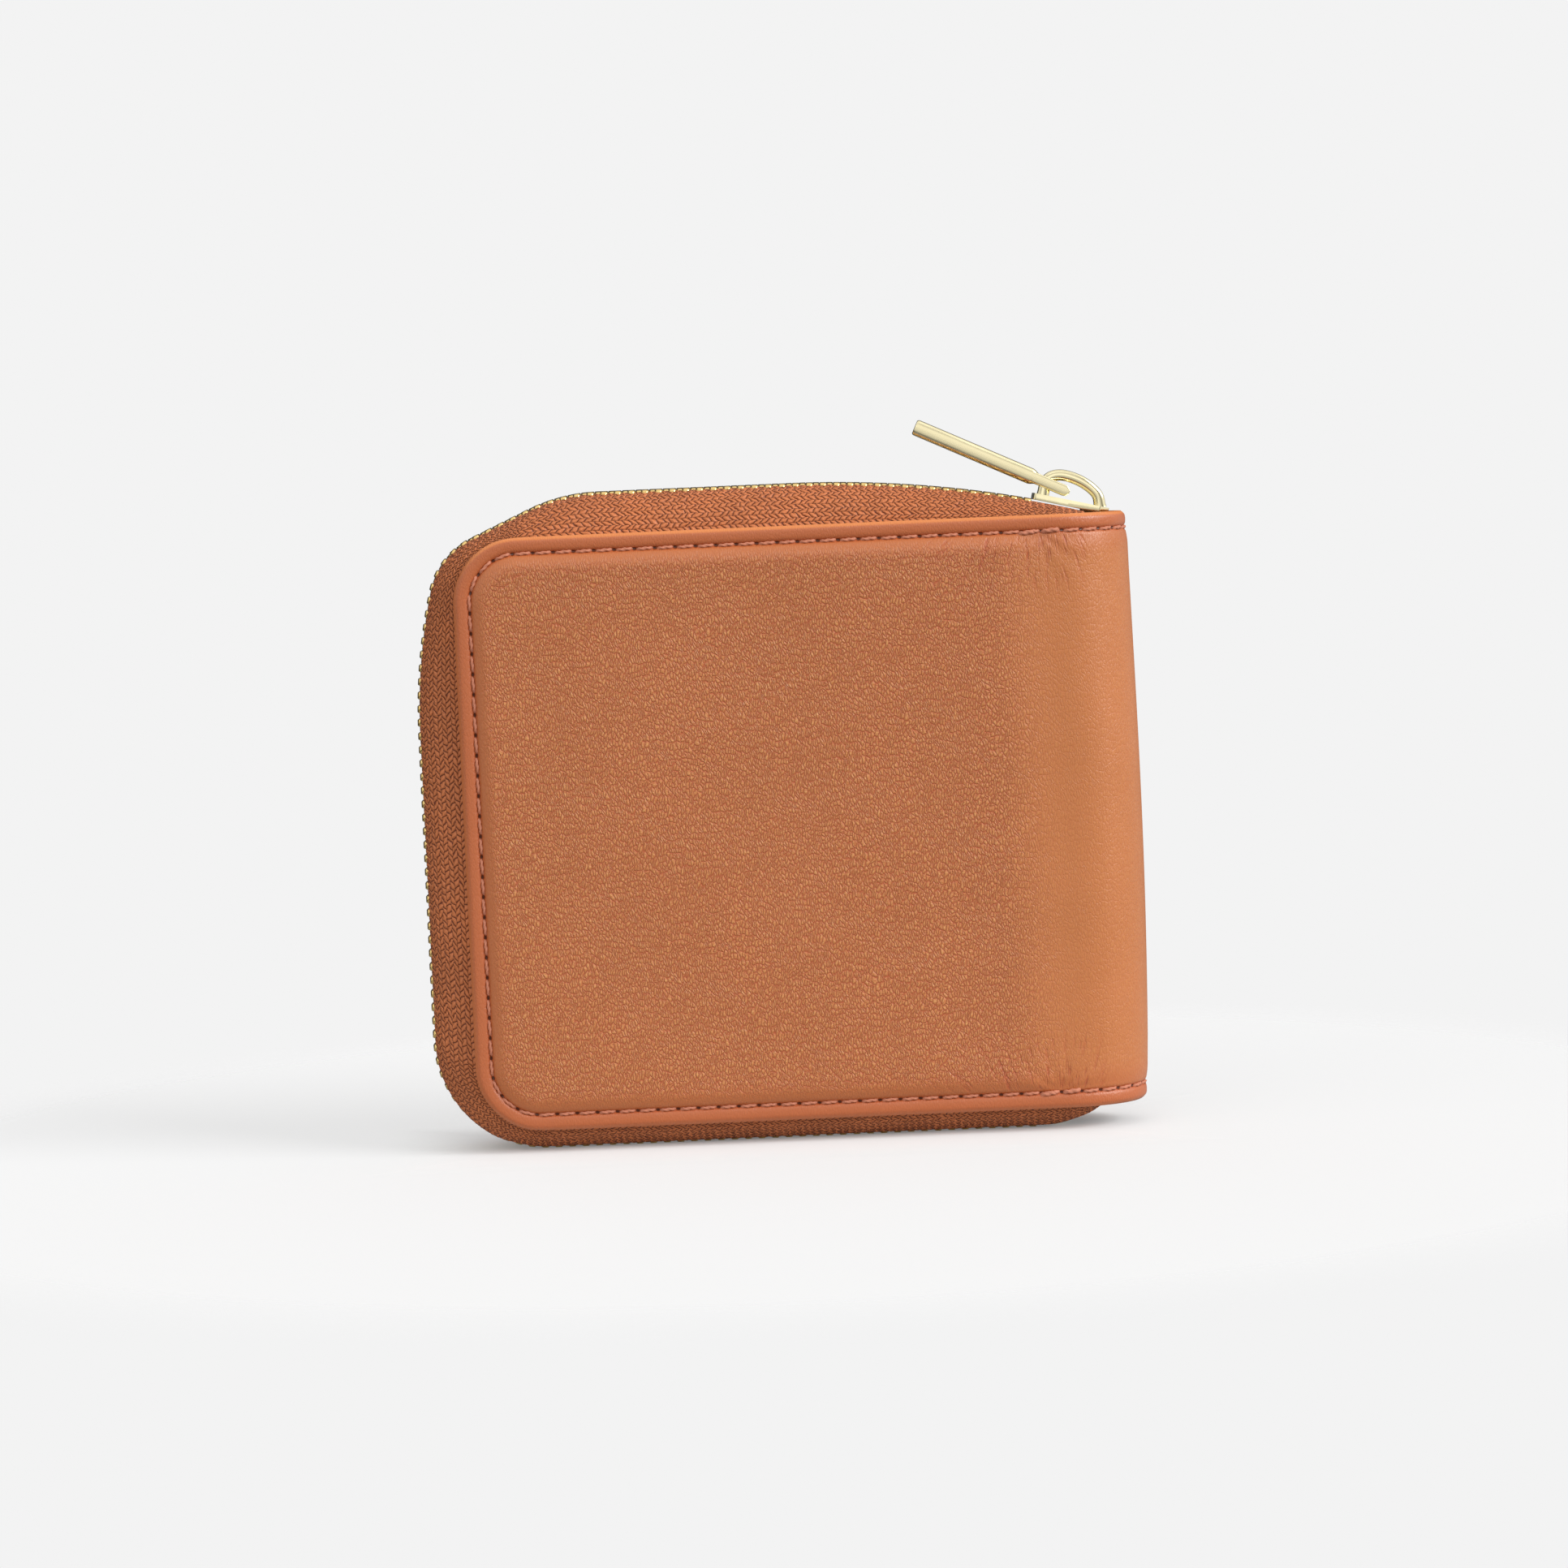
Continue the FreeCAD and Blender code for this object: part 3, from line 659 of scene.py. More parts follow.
def finish_mesh(name, points, faces, materials, layers=None, face_slots=None, sharp=38.0):
    """A mesh object with point attributes, material slots, smooth faces and sharp folds."""
    mesh = bpy.data.meshes.new(name)
    face_list = faces if isinstance(faces, list) else faces.tolist()
    mesh.from_pydata(points.reshape(-1, 3).tolist(), [], face_list)
    if layers is None:
        turn_outward(mesh)
    for label, values in (layers or {}).items():
        kind = "FLOAT_VECTOR" if values.ndim > 1 and values.shape[-1] == 3 else "FLOAT"
        layer = mesh.attributes.new(label, kind, "POINT")
        field = "vector" if kind == "FLOAT_VECTOR" else "value"
        layer.data.foreach_set(field, values.astype(np.float32).ravel())
    for name_of_material in materials:
        mesh.materials.append(material(name_of_material))
    if face_slots is not None:
        mesh.polygons.foreach_set("material_index", np.asarray(face_slots, np.int32))
    mesh.shade_smooth()
    mesh.set_sharp_from_angle(angle=math.radians(sharp))
    mesh.update()
    piece = bpy.data.objects.new(name, mesh)
    bpy.context.scene.collection.objects.link(piece)
    return piece


def shell(name, outer, inner, layers, materials, sharp=38.0):
    """A closed sheet between two grids of points. The rim takes the last material."""
    rows, columns = outer.shape[:2]
    count = rows * columns
    faces = [
        grid_faces(rows, columns),
        grid_faces(rows, columns, count, True),
        rim_faces(rows, columns, count),
    ]
    slots = np.concatenate([
        np.zeros(len(faces[0])), np.zeros(len(faces[1])), np.full(len(faces[2]), len(materials) - 1),
    ])
    points = np.concatenate([outer.reshape(-1, 3), inner.reshape(-1, 3)])
    doubled = {label: np.concatenate([v.reshape(count, -1)] * 2).squeeze() for label, v in layers.items()}
    return finish_mesh(name, points, np.concatenate(faces), materials, doubled, slots, sharp)


def spaced(start, stop, step, fine=0.0, fine_step=0.2 * MM, ends="both"):
    """Stations from start to stop, closer together for a length fine at the ends."""
    parts = []
    low, high = start, stop
    if fine and ends in ("both", "start"):
        parts.append(np.arange(start, start + fine, fine_step))
        low = start + fine
    tail = []
    if fine and ends in ("both", "stop"):
        tail = stop - np.arange(0, fine, fine_step)[::-1]
        high = stop - fine
    parts.append(np.linspace(low, high, max(2, int(round((high - low) / step)) + 1)))
    if len(tail):
        parts.append(tail[1:] if abs(tail[0] - high) < 1e-9 else tail)
    stations = np.unique(np.round(np.concatenate(parts), 9))
    return stations


# ---------------------------------------------------------------- the leather's closed shape


def closed_section():
    """The covers' and spine's outer line, seen from above: arc length, x, y and outward normal."""
    reach = SPINE_X - FOLD_X
    angle = np.linspace(0, math.pi, 721)
    x = np.concatenate([[LEFT], FOLD_X + reach * np.sin(angle), [LEFT]])
    y = np.concatenate([[-HALF_DEPTH], -HALF_DEPTH * np.cos(angle), [HALF_DEPTH]])
    normal_x = np.concatenate([[0], np.sin(angle) / reach, [0]])
    normal_y = np.concatenate([[-1 / HALF_DEPTH], -np.cos(angle) / HALF_DEPTH, [1 / HALF_DEPTH]])
    length = np.hypot(normal_x, normal_y)
    arc = np.concatenate([[0], np.cumsum(np.hypot(np.diff(x), np.diff(y)))])
    return arc, x, y, normal_x / length, normal_y / length


SECTION = closed_section()
GIRTH = SECTION[0][-1]


def on_skin(u, v, height):
    """Points at arc length u and height v above the lower edge, raised by height along the normal."""
    arc, x, y, normal_x, normal_y = SECTION
    px = np.interp(u, arc, x) + height * np.interp(u, arc, normal_x)
    py = np.interp(u, arc, y) + height * np.interp(u, arc, normal_y)
    return np.stack([px, py, BOTTOM + v + 0 * u], -1)


def edge_inset(u, v):
    """Distance in from the leather's outline, which has four round corners when the case lies flat."""
    corner = sizes().corner
    across = np.abs(u - GIRTH / 2) - (GIRTH / 2 - corner)
    up = np.abs(v - HEIGHT / 2) - (HEIGHT / 2 - corner)
    outside = np.hypot(np.maximum(across, 0), np.maximum(up, 0))
    return corner - outside - np.minimum(np.maximum(across, up), 0)


def seam_route():
    """Lengths of the seam's stretches on one half: spine to corner, one corner, and the upright run."""
    corner = sizes().corner
    radius = corner - sizes().seam_inset
    return GIRTH / 2 - corner, radius * math.pi / 2, HEIGHT - 2 * corner


def seam_along(u, v):
    """Distance along the seam from the middle of the spine, over the top and round to the foot."""
    corner = sizes().corner
    run, bend, upright = seam_route()
    near = np.minimum(u, GIRTH - u)
    upper = v > HEIGHT / 2
    turn = np.arctan2(corner - near, np.where(upper, v - (HEIGHT - corner), corner - v))
    share = np.clip(turn / (math.pi / 2), 0, 1)
    straight = GIRTH / 2 - near
    top = np.where(near > corner, straight, run + bend * share)
    side = run + bend + (HEIGHT - corner - v)
    foot = np.where(
        near > corner,
        run + 2 * bend + upright + (run - straight),
        run + bend + upright + bend * (1 - share),
    )
    on_side = (near <= corner) & (v >= corner) & (v <= HEIGHT - corner)
    return np.where(on_side, side, np.where(upper, top, foot))


def seam_point(along):
    """(u, v) of a place on the seam of the front half, and the seam's direction there."""
    corner = sizes().corner
    inset = sizes().seam_inset
    radius = corner - inset
    run, bend, upright = seam_route()
    if along < run:
        return (GIRTH / 2 - along, HEIGHT - inset), (-1.0, 0.0)
    along -= run
    if along < bend:
        a = along / radius
        place = (corner - radius * math.sin(a), HEIGHT - corner + radius * math.cos(a))
        return place, (-math.cos(a), -math.sin(a))
    along -= bend
    if along < upright:
        return (inset, HEIGHT - corner - along), (0.0, -1.0)
    along -= upright
    if along < bend:
        a = along / radius
        return (corner - radius * math.cos(a), corner - radius * math.sin(a)), (math.sin(a), -math.cos(a))
    along -= bend
    return (corner + along, inset), (1.0, 0.0)


def tack_places():
    """(u, v) of the two back stitched spots on the front half, where the tape ends."""
    inset = sizes().seam_inset
    return [(FLAT - 1.5 * MM, HEIGHT - inset), (FLAT - 1.5 * MM, inset)]


def skin_height(u, v):
    """How far the leather stands off its closed shape, from its edge, seam, raised panel and creases."""
    inset = edge_inset(u, v) / MM
    seam = sizes().seam_inset / MM
    near = np.minimum(u, GIRTH - u)
    edge = -0.5 * (1 - np.clip(inset / 0.8, 0, 1)) ** 2
    roll = 0.14 * np.sin(math.pi * np.clip(inset / (seam - 0.1), 0, 1))
    groove = -0.34 * np.exp(-(((inset - seam) / 0.34) ** 2))
    inside = np.clip(inset - seam, 0, None)
    flat_share = 1 - 0.7 * smoothstep((near - FLAT + 8 * MM) / (10 * MM))
    padding = sizes().puff / MM * np.sin(math.pi / 2 * np.clip(inside / 2.7, 0, 1)) * flat_share
    sag = 0.10 * np.sin(u / (17 * MM) + 0.7) * np.sin(v / (23 * MM) + 0.4)
    sag += 0.06 * np.sin(u / (8.5 * MM) + v / (14 * MM))
    body = smoothstep(inside / 8)
    spine = smoothstep((near - FLAT) / (8 * MM))
    bow = 0.7 * spine * np.sin(math.pi * v / HEIGHT)
    height = edge + roll + groove + padding + body * sag + bow
    for tack_u, tack_v in tack_places():
        du = (near - tack_u) / MM
        dv = np.abs(v - tack_v) / MM
        far = np.hypot(du, dv)
        angle = np.arctan2(du, dv)
        fold = np.cos(angle * 11 + 0.5 * np.sin(far / 2.5))
        height += 0.12 * fold * np.exp(-far / 5.5) * smoothstep((far - 0.6) / 1.8) * smoothstep(inside / 1.2)
        height += -0.28 * np.exp(-((far / 3.2) ** 2)) * smoothstep(inside / 0.8)
    return height * MM


def skin_layers(u, v):
    inset = edge_inset(u, v)
    near = np.minimum(u, GIRTH - u)
    panel = smoothstep((inset - sizes().seam_inset - 0.8 * MM) / (2.6 * MM))
    grain = 0.10 + 0.90 * panel * (1 - 0.88 * smoothstep((near - FLAT + 11 * MM) / (12 * MM)))
    place = np.stack([u, v, 0 * u], -1)
    from_seam = HEIGHT / 2 - np.abs(v - HEIGHT / 2) - sizes().seam_inset
    beside = np.stack([near - tack_places()[0][0], from_seam, 0 * u], -1)
    return {
        "skin_place": place,
        "tack_place": beside,
        "grain": grain,
        "edge_inset": inset,
        "seam_along": seam_along(u, v),
    }


def skin_piece(name, start, stop, rounded=False):
    """One stretch of the leather from arc length start to stop, as a closed sheet."""
    step = 0.55 * MM
    v = spaced(0, HEIGHT, step, 4.5 * MM, 0.22 * MM)
    mirrored = start > GIRTH / 2 and rounded
    if mirrored:
        start, stop = GIRTH - stop, GIRTH - start
    fine = 4.5 * MM if rounded else 0.0
    u = spaced(start, stop, step if rounded else 0.4 * MM, fine, 0.22 * MM, ends="start")
    grid_u, grid_v = np.meshgrid(u, v)
    if rounded:
        corner = sizes().corner
        short = np.clip(corner - np.minimum(grid_v, HEIGHT - grid_v), 0, corner)
        inset = corner - np.sqrt(np.clip(corner**2 - short**2, 0, None))
        grid_u = inset + (grid_u - start) * (stop - inset) / (stop - start)
    if mirrored:
        grid_u = (GIRTH - grid_u)[:, ::-1]
        grid_v = grid_v[:, ::-1]
    outer = on_skin(grid_u, grid_v, skin_height(grid_u, grid_v))
    inner = on_skin(grid_u, grid_v, np.full_like(grid_u, -sizes().leather))
    return shell(name, outer, inner, skin_layers(grid_u, grid_v), ["pebbled_leather", "turned_edge"])


# Where the leather is cut into pieces, as arc lengths: on the flat, and where each spine quarter is rigid
FLAT_CUT = FLAT - 5 * MM
QUARTER_X = FOLD_X + 7.4 * MM
QUARTER_CUT = float(np.interp(QUARTER_X, SECTION[1][1:361], SECTION[0][1:361]))


def blend_spine(piece, part):
    """Bakes a spine piece's transform into its mesh, the same way for "outer" and "middle"."""
    if part == "outer":
        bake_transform(piece)
    else:
        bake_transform(piece)


def stitch_mesh(name, places, material_name="sewing_thread"):
    """Stitches at (u, v) places, each a short two-ply tube whose ends dip into the leather."""
    rings, sides = 15, 10
    t = np.linspace(-1, 1, rings)[:, None]
    around = np.linspace(0, 2 * math.pi, sides, endpoint=False)[None, :]
    points, faces = [], []
    for (u, v), (du, dv), length, thick in places:
        plies = 1 + 0.24 * np.cos(2 * (around - 4.4 * t))
        radius = thick / 2 * plies * np.sqrt(np.clip(1.12 - t**4, 0.05, 1))
        along = t * length / 2
        slant = 0.10 * MM * t
        lift = 0.16 * MM * (1 - t**2) - 0.06 * MM - 0.30 * MM * t**6
        side_move = slant + radius * np.cos(around)
        grid_u = u + along * du - side_move * dv
        grid_v = v + along * dv + side_move * du
        base_u = u + 0 * grid_u
        base = skin_height(base_u, v + 0 * grid_u) + 0.14 * MM
        grid = on_skin(grid_u, grid_v, base + lift + radius * np.sin(around))
        offset = len(points) * rings * sides
        index = np.arange(rings * sides).reshape(rings, sides) + offset
        wrapped = np.roll(index, -1, 1)
        quads = np.stack([index[:-1], wrapped[:-1], wrapped[1:], index[1:]], -1).reshape(-1, 4)
        faces += quads.tolist()
        faces += [index[0][::-1].tolist(), index[-1].tolist()]
        points.append(grid.reshape(-1, 3))
    return finish_mesh(name, np.concatenate(points), faces, [material_name], sharp=80.0)


def seam_stitches(side):
    """All stitches of one half, as (place, direction, length, thickness), sorted by where they ride."""
    pitch = sizes().stitch_pitch
    run, bend, upright = seam_route()
    total = 2 * run + 2 * bend + upright
    groups = {"cover": [], "outer": [], "middle": []}
    for index in range(int(total / pitch)):
        (u, v), (du, dv) = seam_point((index + 0.5) * pitch)
        kind = "cover" if u < FLAT_CUT else "outer" if u < QUARTER_CUT else "middle"
        mirrored = (GIRTH - u, v) if side == REAR else (u, v)
        heading = (-du, dv) if side == REAR else (du, dv)
        groups[kind].append((mirrored, heading, sizes().stitch_length, sizes().thread))
    for (u, v) in tack_places():
        for index in range(sizes().bar_tacks):
            at = u + (index - 0.5) * 1.15 * pitch
            place = (GIRTH - at if side == REAR else at, v + 0.12 * MM * (1 if index else -1))
            groups["outer"].append((place, (1.0, 0.05), sizes().stitch_length * 1.1, sizes().thread * 1.35))
    return groups


# ---------------------------------------------------------------- the zip's route

# The gusset's shape, as in the design: arched by the spine, level on top, a sloping shoulder, a tight
# upper corner, a round lower corner, and a flat foot that rises at its end
CHAIN_LEFT = TAPE_LOW.x
CHAIN_TOP = TOP + 6.0 * MM
TOP_ARC = 175.0 * MM
TOP_PEAK_X = LEFT + 52.0 * MM
TOP_FLAT_X = LEFT + 22.3 * MM
SHOULDER_ARC = 26.0 * MM
SHOULDER_TURN = 24.0
SHOULDER_RUN = 9.8 * MM
CORNER_UPPER = 11.5 * MM
CORNER_TURN = 76.0
CORNER_LOWER = 17.0 * MM
BOTTOM_RUN_END = LEFT + 87.0 * MM
BOTTOM_RISE_ARC = 14.3 * MM
TAPE_END_X = TAPE_HIGH.x
TAPE_SEAM = 0.7 * MM
TAPE_CLEARANCE = 0.3 * MM
TAPE_OUTER_Y = 8.4 * MM
TAPE_INNER_Y = 2.65 * MM
ARC_Z = CHAIN_TOP - TOP_ARC
SLIDER_X = LEFT + 94.0 * MM
SLIDER_SLOPE = math.asin((SLIDER_X - TOP_PEAK_X) / TOP_ARC)
STRETCH_POINTS = 300


def arc_points(centre, radius, start, stop):
    """(x, z) along an arc. Angles are in degrees from straight up, turning to the left."""
    angle = np.radians(np.linspace(start, stop, STRETCH_POINTS))
    return np.stack([centre[0] - radius * np.sin(angle), centre[1] + radius * np.cos(angle)], -1)


def line_points(a, b):
    share = np.linspace(0, 1, STRETCH_POINTS)[:, None]
    return np.array(a) * (1 - share) + np.array(b) * share


def square_in(where, angle, distance):
    """The point at a distance from another, square to a run that has turned by an angle."""
    turn = math.radians(angle)
    return (where[0] + distance * math.sin(turn), where[1] - distance * math.cos(turn))


def chain_route():
    """The row of teeth's line, from the top of the spine round to the foot, in ten stretches."""
    first = -math.degrees(math.asin((TAPE_END_X - TOP_PEAK_X) / TOP_ARC))
    rise = math.degrees(math.asin((TAPE_END_X - BOTTOM_RUN_END) / BOTTOM_RISE_ARC))
    bend = arc_points((TOP_FLAT_X, CHAIN_TOP - SHOULDER_ARC), SHOULDER_ARC, 0, SHOULDER_TURN)
    slope = math.radians(SHOULDER_TURN)
    slope_end = bend[-1] - SHOULDER_RUN * np.array([math.cos(slope), math.sin(slope)])
    knuckle_centre = square_in(slope_end, SHOULDER_TURN, CORNER_UPPER)
    knuckle = arc_points(knuckle_centre, CORNER_UPPER, SHOULDER_TURN, CORNER_TURN)
    ease = (knuckle[-1][0] - CHAIN_LEFT) / (1 - math.sin(math.radians(CORNER_TURN)))
    side = arc_points(square_in(knuckle[-1], CORNER_TURN, ease), ease, CORNER_TURN, 90)
    low_centre = (CHAIN_LEFT + CORNER_LOWER, CORNER_LOWER)
    return [
        arc_points((TOP_PEAK_X, ARC_Z), TOP_ARC, first, 0),
        line_points((TOP_PEAK_X, CHAIN_TOP), (TOP_FLAT_X, CHAIN_TOP)),
        bend,
        line_points(bend[-1], slope_end),
        knuckle,
        side,
        line_points(side[-1], (CHAIN_LEFT, CORNER_LOWER)),
        arc_points(low_centre, CORNER_LOWER, 90, 180),
        line_points((low_centre[0], 0), (BOTTOM_RUN_END, 0)),
        arc_points((BOTTOM_RUN_END, BOTTOM_RISE_ARC), BOTTOM_RISE_ARC, 180, 180 + rise),
    ]


def eased_side(corner_points, stop_z):
    """The last of the sewn line's upper corner and the upright below it, down to stop_z, at equal steps."""
    line = np.concatenate([corner_points, [(corner_points[-1][0], stop_z)]])
    length = np.concatenate([[0], np.cumsum(np.hypot(*np.diff(line, axis=0).T))])
    at = np.linspace(0, length[-1], STRETCH_POINTS)
    return np.stack([np.interp(at, length, line[:, k]) for k in (0, 1)], -1)


def sewn_route():
    """The line where the tape is sewn under a cover's edge, in the same ten stretches."""
    left = LEFT + TAPE_SEAM
    high = TOP - TAPE_SEAM
    low = BOTTOM + TAPE_SEAM
    corner = sizes().corner - TAPE_SEAM
    upper = (left + corner, high - corner)
    lower = (left + corner, low + corner)
    side = eased_side(arc_points(upper, corner, CORNER_TURN, 90), chain_route()[5][-1][1])
    return [
        line_points((TAPE_END_X, high), (TOP_PEAK_X, high)),
        line_points((TOP_PEAK_X, high), (TOP_FLAT_X, high)),
        line_points((TOP_FLAT_X, high), (left + corner, high)),
        arc_points(upper, corner, 0, SHOULDER_TURN),
        arc_points(upper, corner, SHOULDER_TURN, CORNER_TURN),
        side,
        line_points(side[-1], (left, low + corner)),
        arc_points(lower, corner, 90, 180),
        line_points((left + corner, low), (BOTTOM_RUN_END, low)),
        line_points((BOTTOM_RUN_END, low), (TAPE_END_X, low)),
    ]


def joined(stretches):
    """Stretches as one row of points, without the doubled ends."""
    return np.concatenate([stretches[0]] + [s[1:] for s in stretches[1:]])


def resampled(step):
    """The chain's and the seam's lines at equal steps along the chain: (distance, chain, sewn)."""
    chain = joined(chain_route())
    sewn = joined(sewn_route())
    length = np.concatenate([[0], np.cumsum(np.hypot(*np.diff(chain, axis=0).T))])
    at = np.linspace(0, length[-1], int(length[-1] / step) + 1)
    chain_at = np.stack([np.interp(at, length, chain[:, k]) for k in (0, 1)], -1)
    sewn_at = np.stack([np.interp(at, length, sewn[:, k]) for k in (0, 1)], -1)
    return at, chain_at, sewn_at


def knit_relief(along, across):
    """Height from 0 to 1 of the tape's strands: rows that lean one way, then the other."""
    row = across / sizes().knit_row
    index = np.floor(row)
    within = row - index
    lean = np.where(index % 2 == 0, 1.0, -1.0)
    phase = along / sizes().knit_step + lean * (within - 0.5) * KNIT_LEAN + 0.5 * (index % 2)
    strand = np.abs(np.cos(math.pi * phase)) ** 0.7
    row_shape = np.sin(math.pi * np.clip(within, 0, 1)) ** 0.6
    return strand * (0.4 + 0.6 * row_shape)


def tape_piece(side):
    """One side's woven tape, bulging from the seam under the cover to its row of teeth."""
    name = "rear" if side == REAR else "front"
    along, chain, sewn = resampled(0.22 * MM)
    width = 9.8 * MM
    share = np.linspace(0, 1, 64)
    rise = 1 - (1 - share) ** 3.4
    distance = TAPE_OUTER_Y + (TAPE_INNER_Y - 0.35 * MM - TAPE_OUTER_Y) * share
    xz = sewn[:, None, :] * (1 - rise[None, :, None]) + chain[:, None, :] * rise[None, :, None]
    y = side * np.broadcast_to(distance[None, :], xz.shape[:2])
    base = np.stack([xz[..., 0], y, xz[..., 1]], -1)
    step_along = np.gradient(base, axis=0)
    step_across = np.gradient(base, axis=1)
    normal = np.cross(step_along, step_across) * side
    normal /= np.linalg.norm(normal, axis=-1, keepdims=True) + 1e-12
    across = np.concatenate([[0], np.cumsum(np.linalg.norm(np.diff(base, axis=1), axis=-1).mean(axis=0))])
    grid_along, grid_across = np.meshgrid(along, across * width / across[-1], indexing="ij")
    relief = knit_relief(grid_along, grid_across)
    lift = (0.24 * (relief - 0.8) + 0.02) * MM
    outer = base + normal * lift[..., None]
    inner = base - normal * 0.5 * MM
    clear = TAPE_CLEARANCE * smoothstep((2.5 * MM - base[..., 2]) / (2.0 * MM))
    outer[..., 2] = np.maximum(outer[..., 2] + clear, TAPE_CLEARANCE)
    inner[..., 2] += clear
    layers = {
        "skin_place": np.stack([grid_along, grid_across, 0 * grid_along], -1),
    }
    if side == REAR:
        outer, inner = outer[:, ::-1], inner[:, ::-1]
        layers = {k: v[:, ::-1] for k, v in layers.items()}
    piece = shell(name + "_tape", outer, inner, layers, ["woven_tape"], sharp=75.0)
    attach(piece, name + "_half")
    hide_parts(name + "_zip_tape")
    return piece


def tooth_form(side):
    """Corner points of one tooth, as (along, y, out): a clamp on the tape and a narrower head."""
    sections = [
        (4.05, 0.30, -0.60, 0.06),
        (3.80, 0.50, -0.80, 0.26),
        (3.20, 0.60, -0.95, 0.40),
        (1.15, 0.62, -1.15, 0.42),
        (0.75, 0.44, -1.15, 0.34),
        (-0.25, 0.40, -1.05, 0.22),
        (-0.50, 0.26, -0.80, -0.05),
    ]
    cut = 0.72
    upper = [(-1.0, cut), (-cut, 1.0), (cut, 1.0), (1.0, cut)]
    ring = upper + [(-across, -out) for across, out in upper]
    points = []
    for y, half, low, high in sections:
        centre = (low + high) / 2
        deep = (high - low) / 2
        points += [(half * a, side * y, centre + deep * b) for a, b in ring]
    count = len(ring)
    faces = []
    for s in range(len(sections) - 1):
        for k in range(count):
            a = s * count + k
            b = s * count + (k + 1) % count
            quad = [a, b, b + count, a + count]
            faces.append(quad if side == REAR else quad[::-1])
    last = (len(sections) - 1) * count
    start = list(range(count))
    end = [last + k for k in range(count)]
    faces += [start[::-1], end] if side == REAR else [start, end[::-1]]
    return np.array(points) * MM, faces


def teeth_piece(side):
    """The row of plated teeth on one tape. The two rows interlock along the middle."""
    name = "rear" if side == REAR else "front"
    along, chain, _ = resampled(0.05 * MM)
    pitch = sizes().tooth_pitch
    first = (math.asin((TAPE_END_X - TOP_PEAK_X) / TOP_ARC) - SLIDER_SLOPE) * TOP_ARC + 5.8 * MM
    first += pitch / 2 if side == REAR else 0.0
    form, form_faces = tooth_form(side)
    points, faces = [], []
    for at in np.arange(first, along[-1] - 11 * MM, pitch):
        here = np.array([np.interp(at, along, chain[:, k]) for k in (0, 1)])
        ahead = np.array([np.interp(at + 0.1 * MM, along, chain[:, k]) for k in (0, 1)])
        tangent = (ahead - here) / np.linalg.norm(ahead - here)
        outward = np.array([tangent[1], -tangent[0]]) * -1.0
        outward = outward if outward @ (here - np.array([0, HEIGHT / 2])) > 0 else -outward
        sunk = 0.40 * MM * max(0.0, -outward[1])
        x = here[0] + form[:, 0] * tangent[0] + (form[:, 2] - sunk) * outward[0]
        z = here[1] + form[:, 0] * tangent[1] + (form[:, 2] - sunk) * outward[1]
        offset = len(points) * len(form)
        points.append(np.stack([x, form[:, 1], z], -1))
        faces += [[i + offset for i in face] for face in form_faces]
    piece = finish_mesh(name + "_teeth", np.concatenate(points), faces, ["brass"], sharp=50.0)
    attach(piece, name + "_half")
    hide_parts(name + "_zip_teeth")
    return piece


# ---------------------------------------------------------------- inner sheets


def inner_sheet(node, body, side, materials, corner, crease, puff=0.12):
    """A pocket leaf or lining built in the space of its frame node, facing the middle of the wallet."""
    low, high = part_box(node)
    width = high.x - low.x
    tall = high.z - low.z
    thick = high.y - low.y
    x = spaced(0, width, 0.9 * MM, 2.4 * MM, 0.3 * MM)
    z = spaced(0, tall, 0.9 * MM, 2.4 * MM, 0.3 * MM)
    grid_x, grid_z = np.meshgrid(x, z)
    short = np.clip(corner - np.minimum(grid_z, tall - grid_z), 0, corner)
    start = corner - np.sqrt(np.clip(corner**2 - short**2, 0, None))
    grid_x = start + grid_x * (width - start) / width
    q_x = np.abs(grid_x - (width + corner) / 2) - ((width + corner) / 2 - corner)
    q_z = np.abs(grid_z - tall / 2) - (tall / 2 - corner)
    rounded = np.hypot(np.maximum(q_x, 0), np.maximum(q_z, 0))
    left_inset = corner - rounded - np.minimum(np.maximum(q_x, q_z), 0)
    inset = np.minimum(left_inset, width - grid_x) / MM
    face = (thick / 2) / MM
    lift = -0.5 * face * (1 - np.clip(inset / 0.5, 0, 1)) ** 2
    if crease:
        from_top = (tall - grid_z) / MM
        lift += -0.16 * np.exp(-(((from_top - 1.6) / 0.2) ** 2))
    lift += puff * smoothstep(inset / 6) * np.sin(grid_x / (19 * MM)) * np.sin(grid_z / (13 * MM)) * 0.5
    front_y = (low.y if side == REAR else high.y) + 0 * grid_x
    back_y = (high.y if side == REAR else low.y) + 0 * grid_x
    out = -1.0 if side == REAR else 1.0
    outer = np.stack([low.x + grid_x, front_y + out * lift * MM, low.z + grid_z], -1)
    inner = np.stack([low.x + grid_x, back_y, low.z + grid_z], -1)
    along = (tall - grid_z) if crease else 0 * grid_x
    layers = {
        "skin_place": np.stack([grid_x, grid_z, 0 * grid_x], -1),
        "grain": 0.22 + 0 * grid_x,
        "edge_inset": np.full_like(grid_x, 0.5),
        "seam_along": along,
    }
    if side == FRONT:
        outer, inner = outer[:, ::-1], inner[:, ::-1]
        layers = {k: v[:, ::-1] for k, v in layers.items()}
    piece = shell(node + "_sheet", outer, inner, layers, materials)
    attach(piece, body)
    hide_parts(node)
    return piece


# ---------------------------------------------------------------- operators


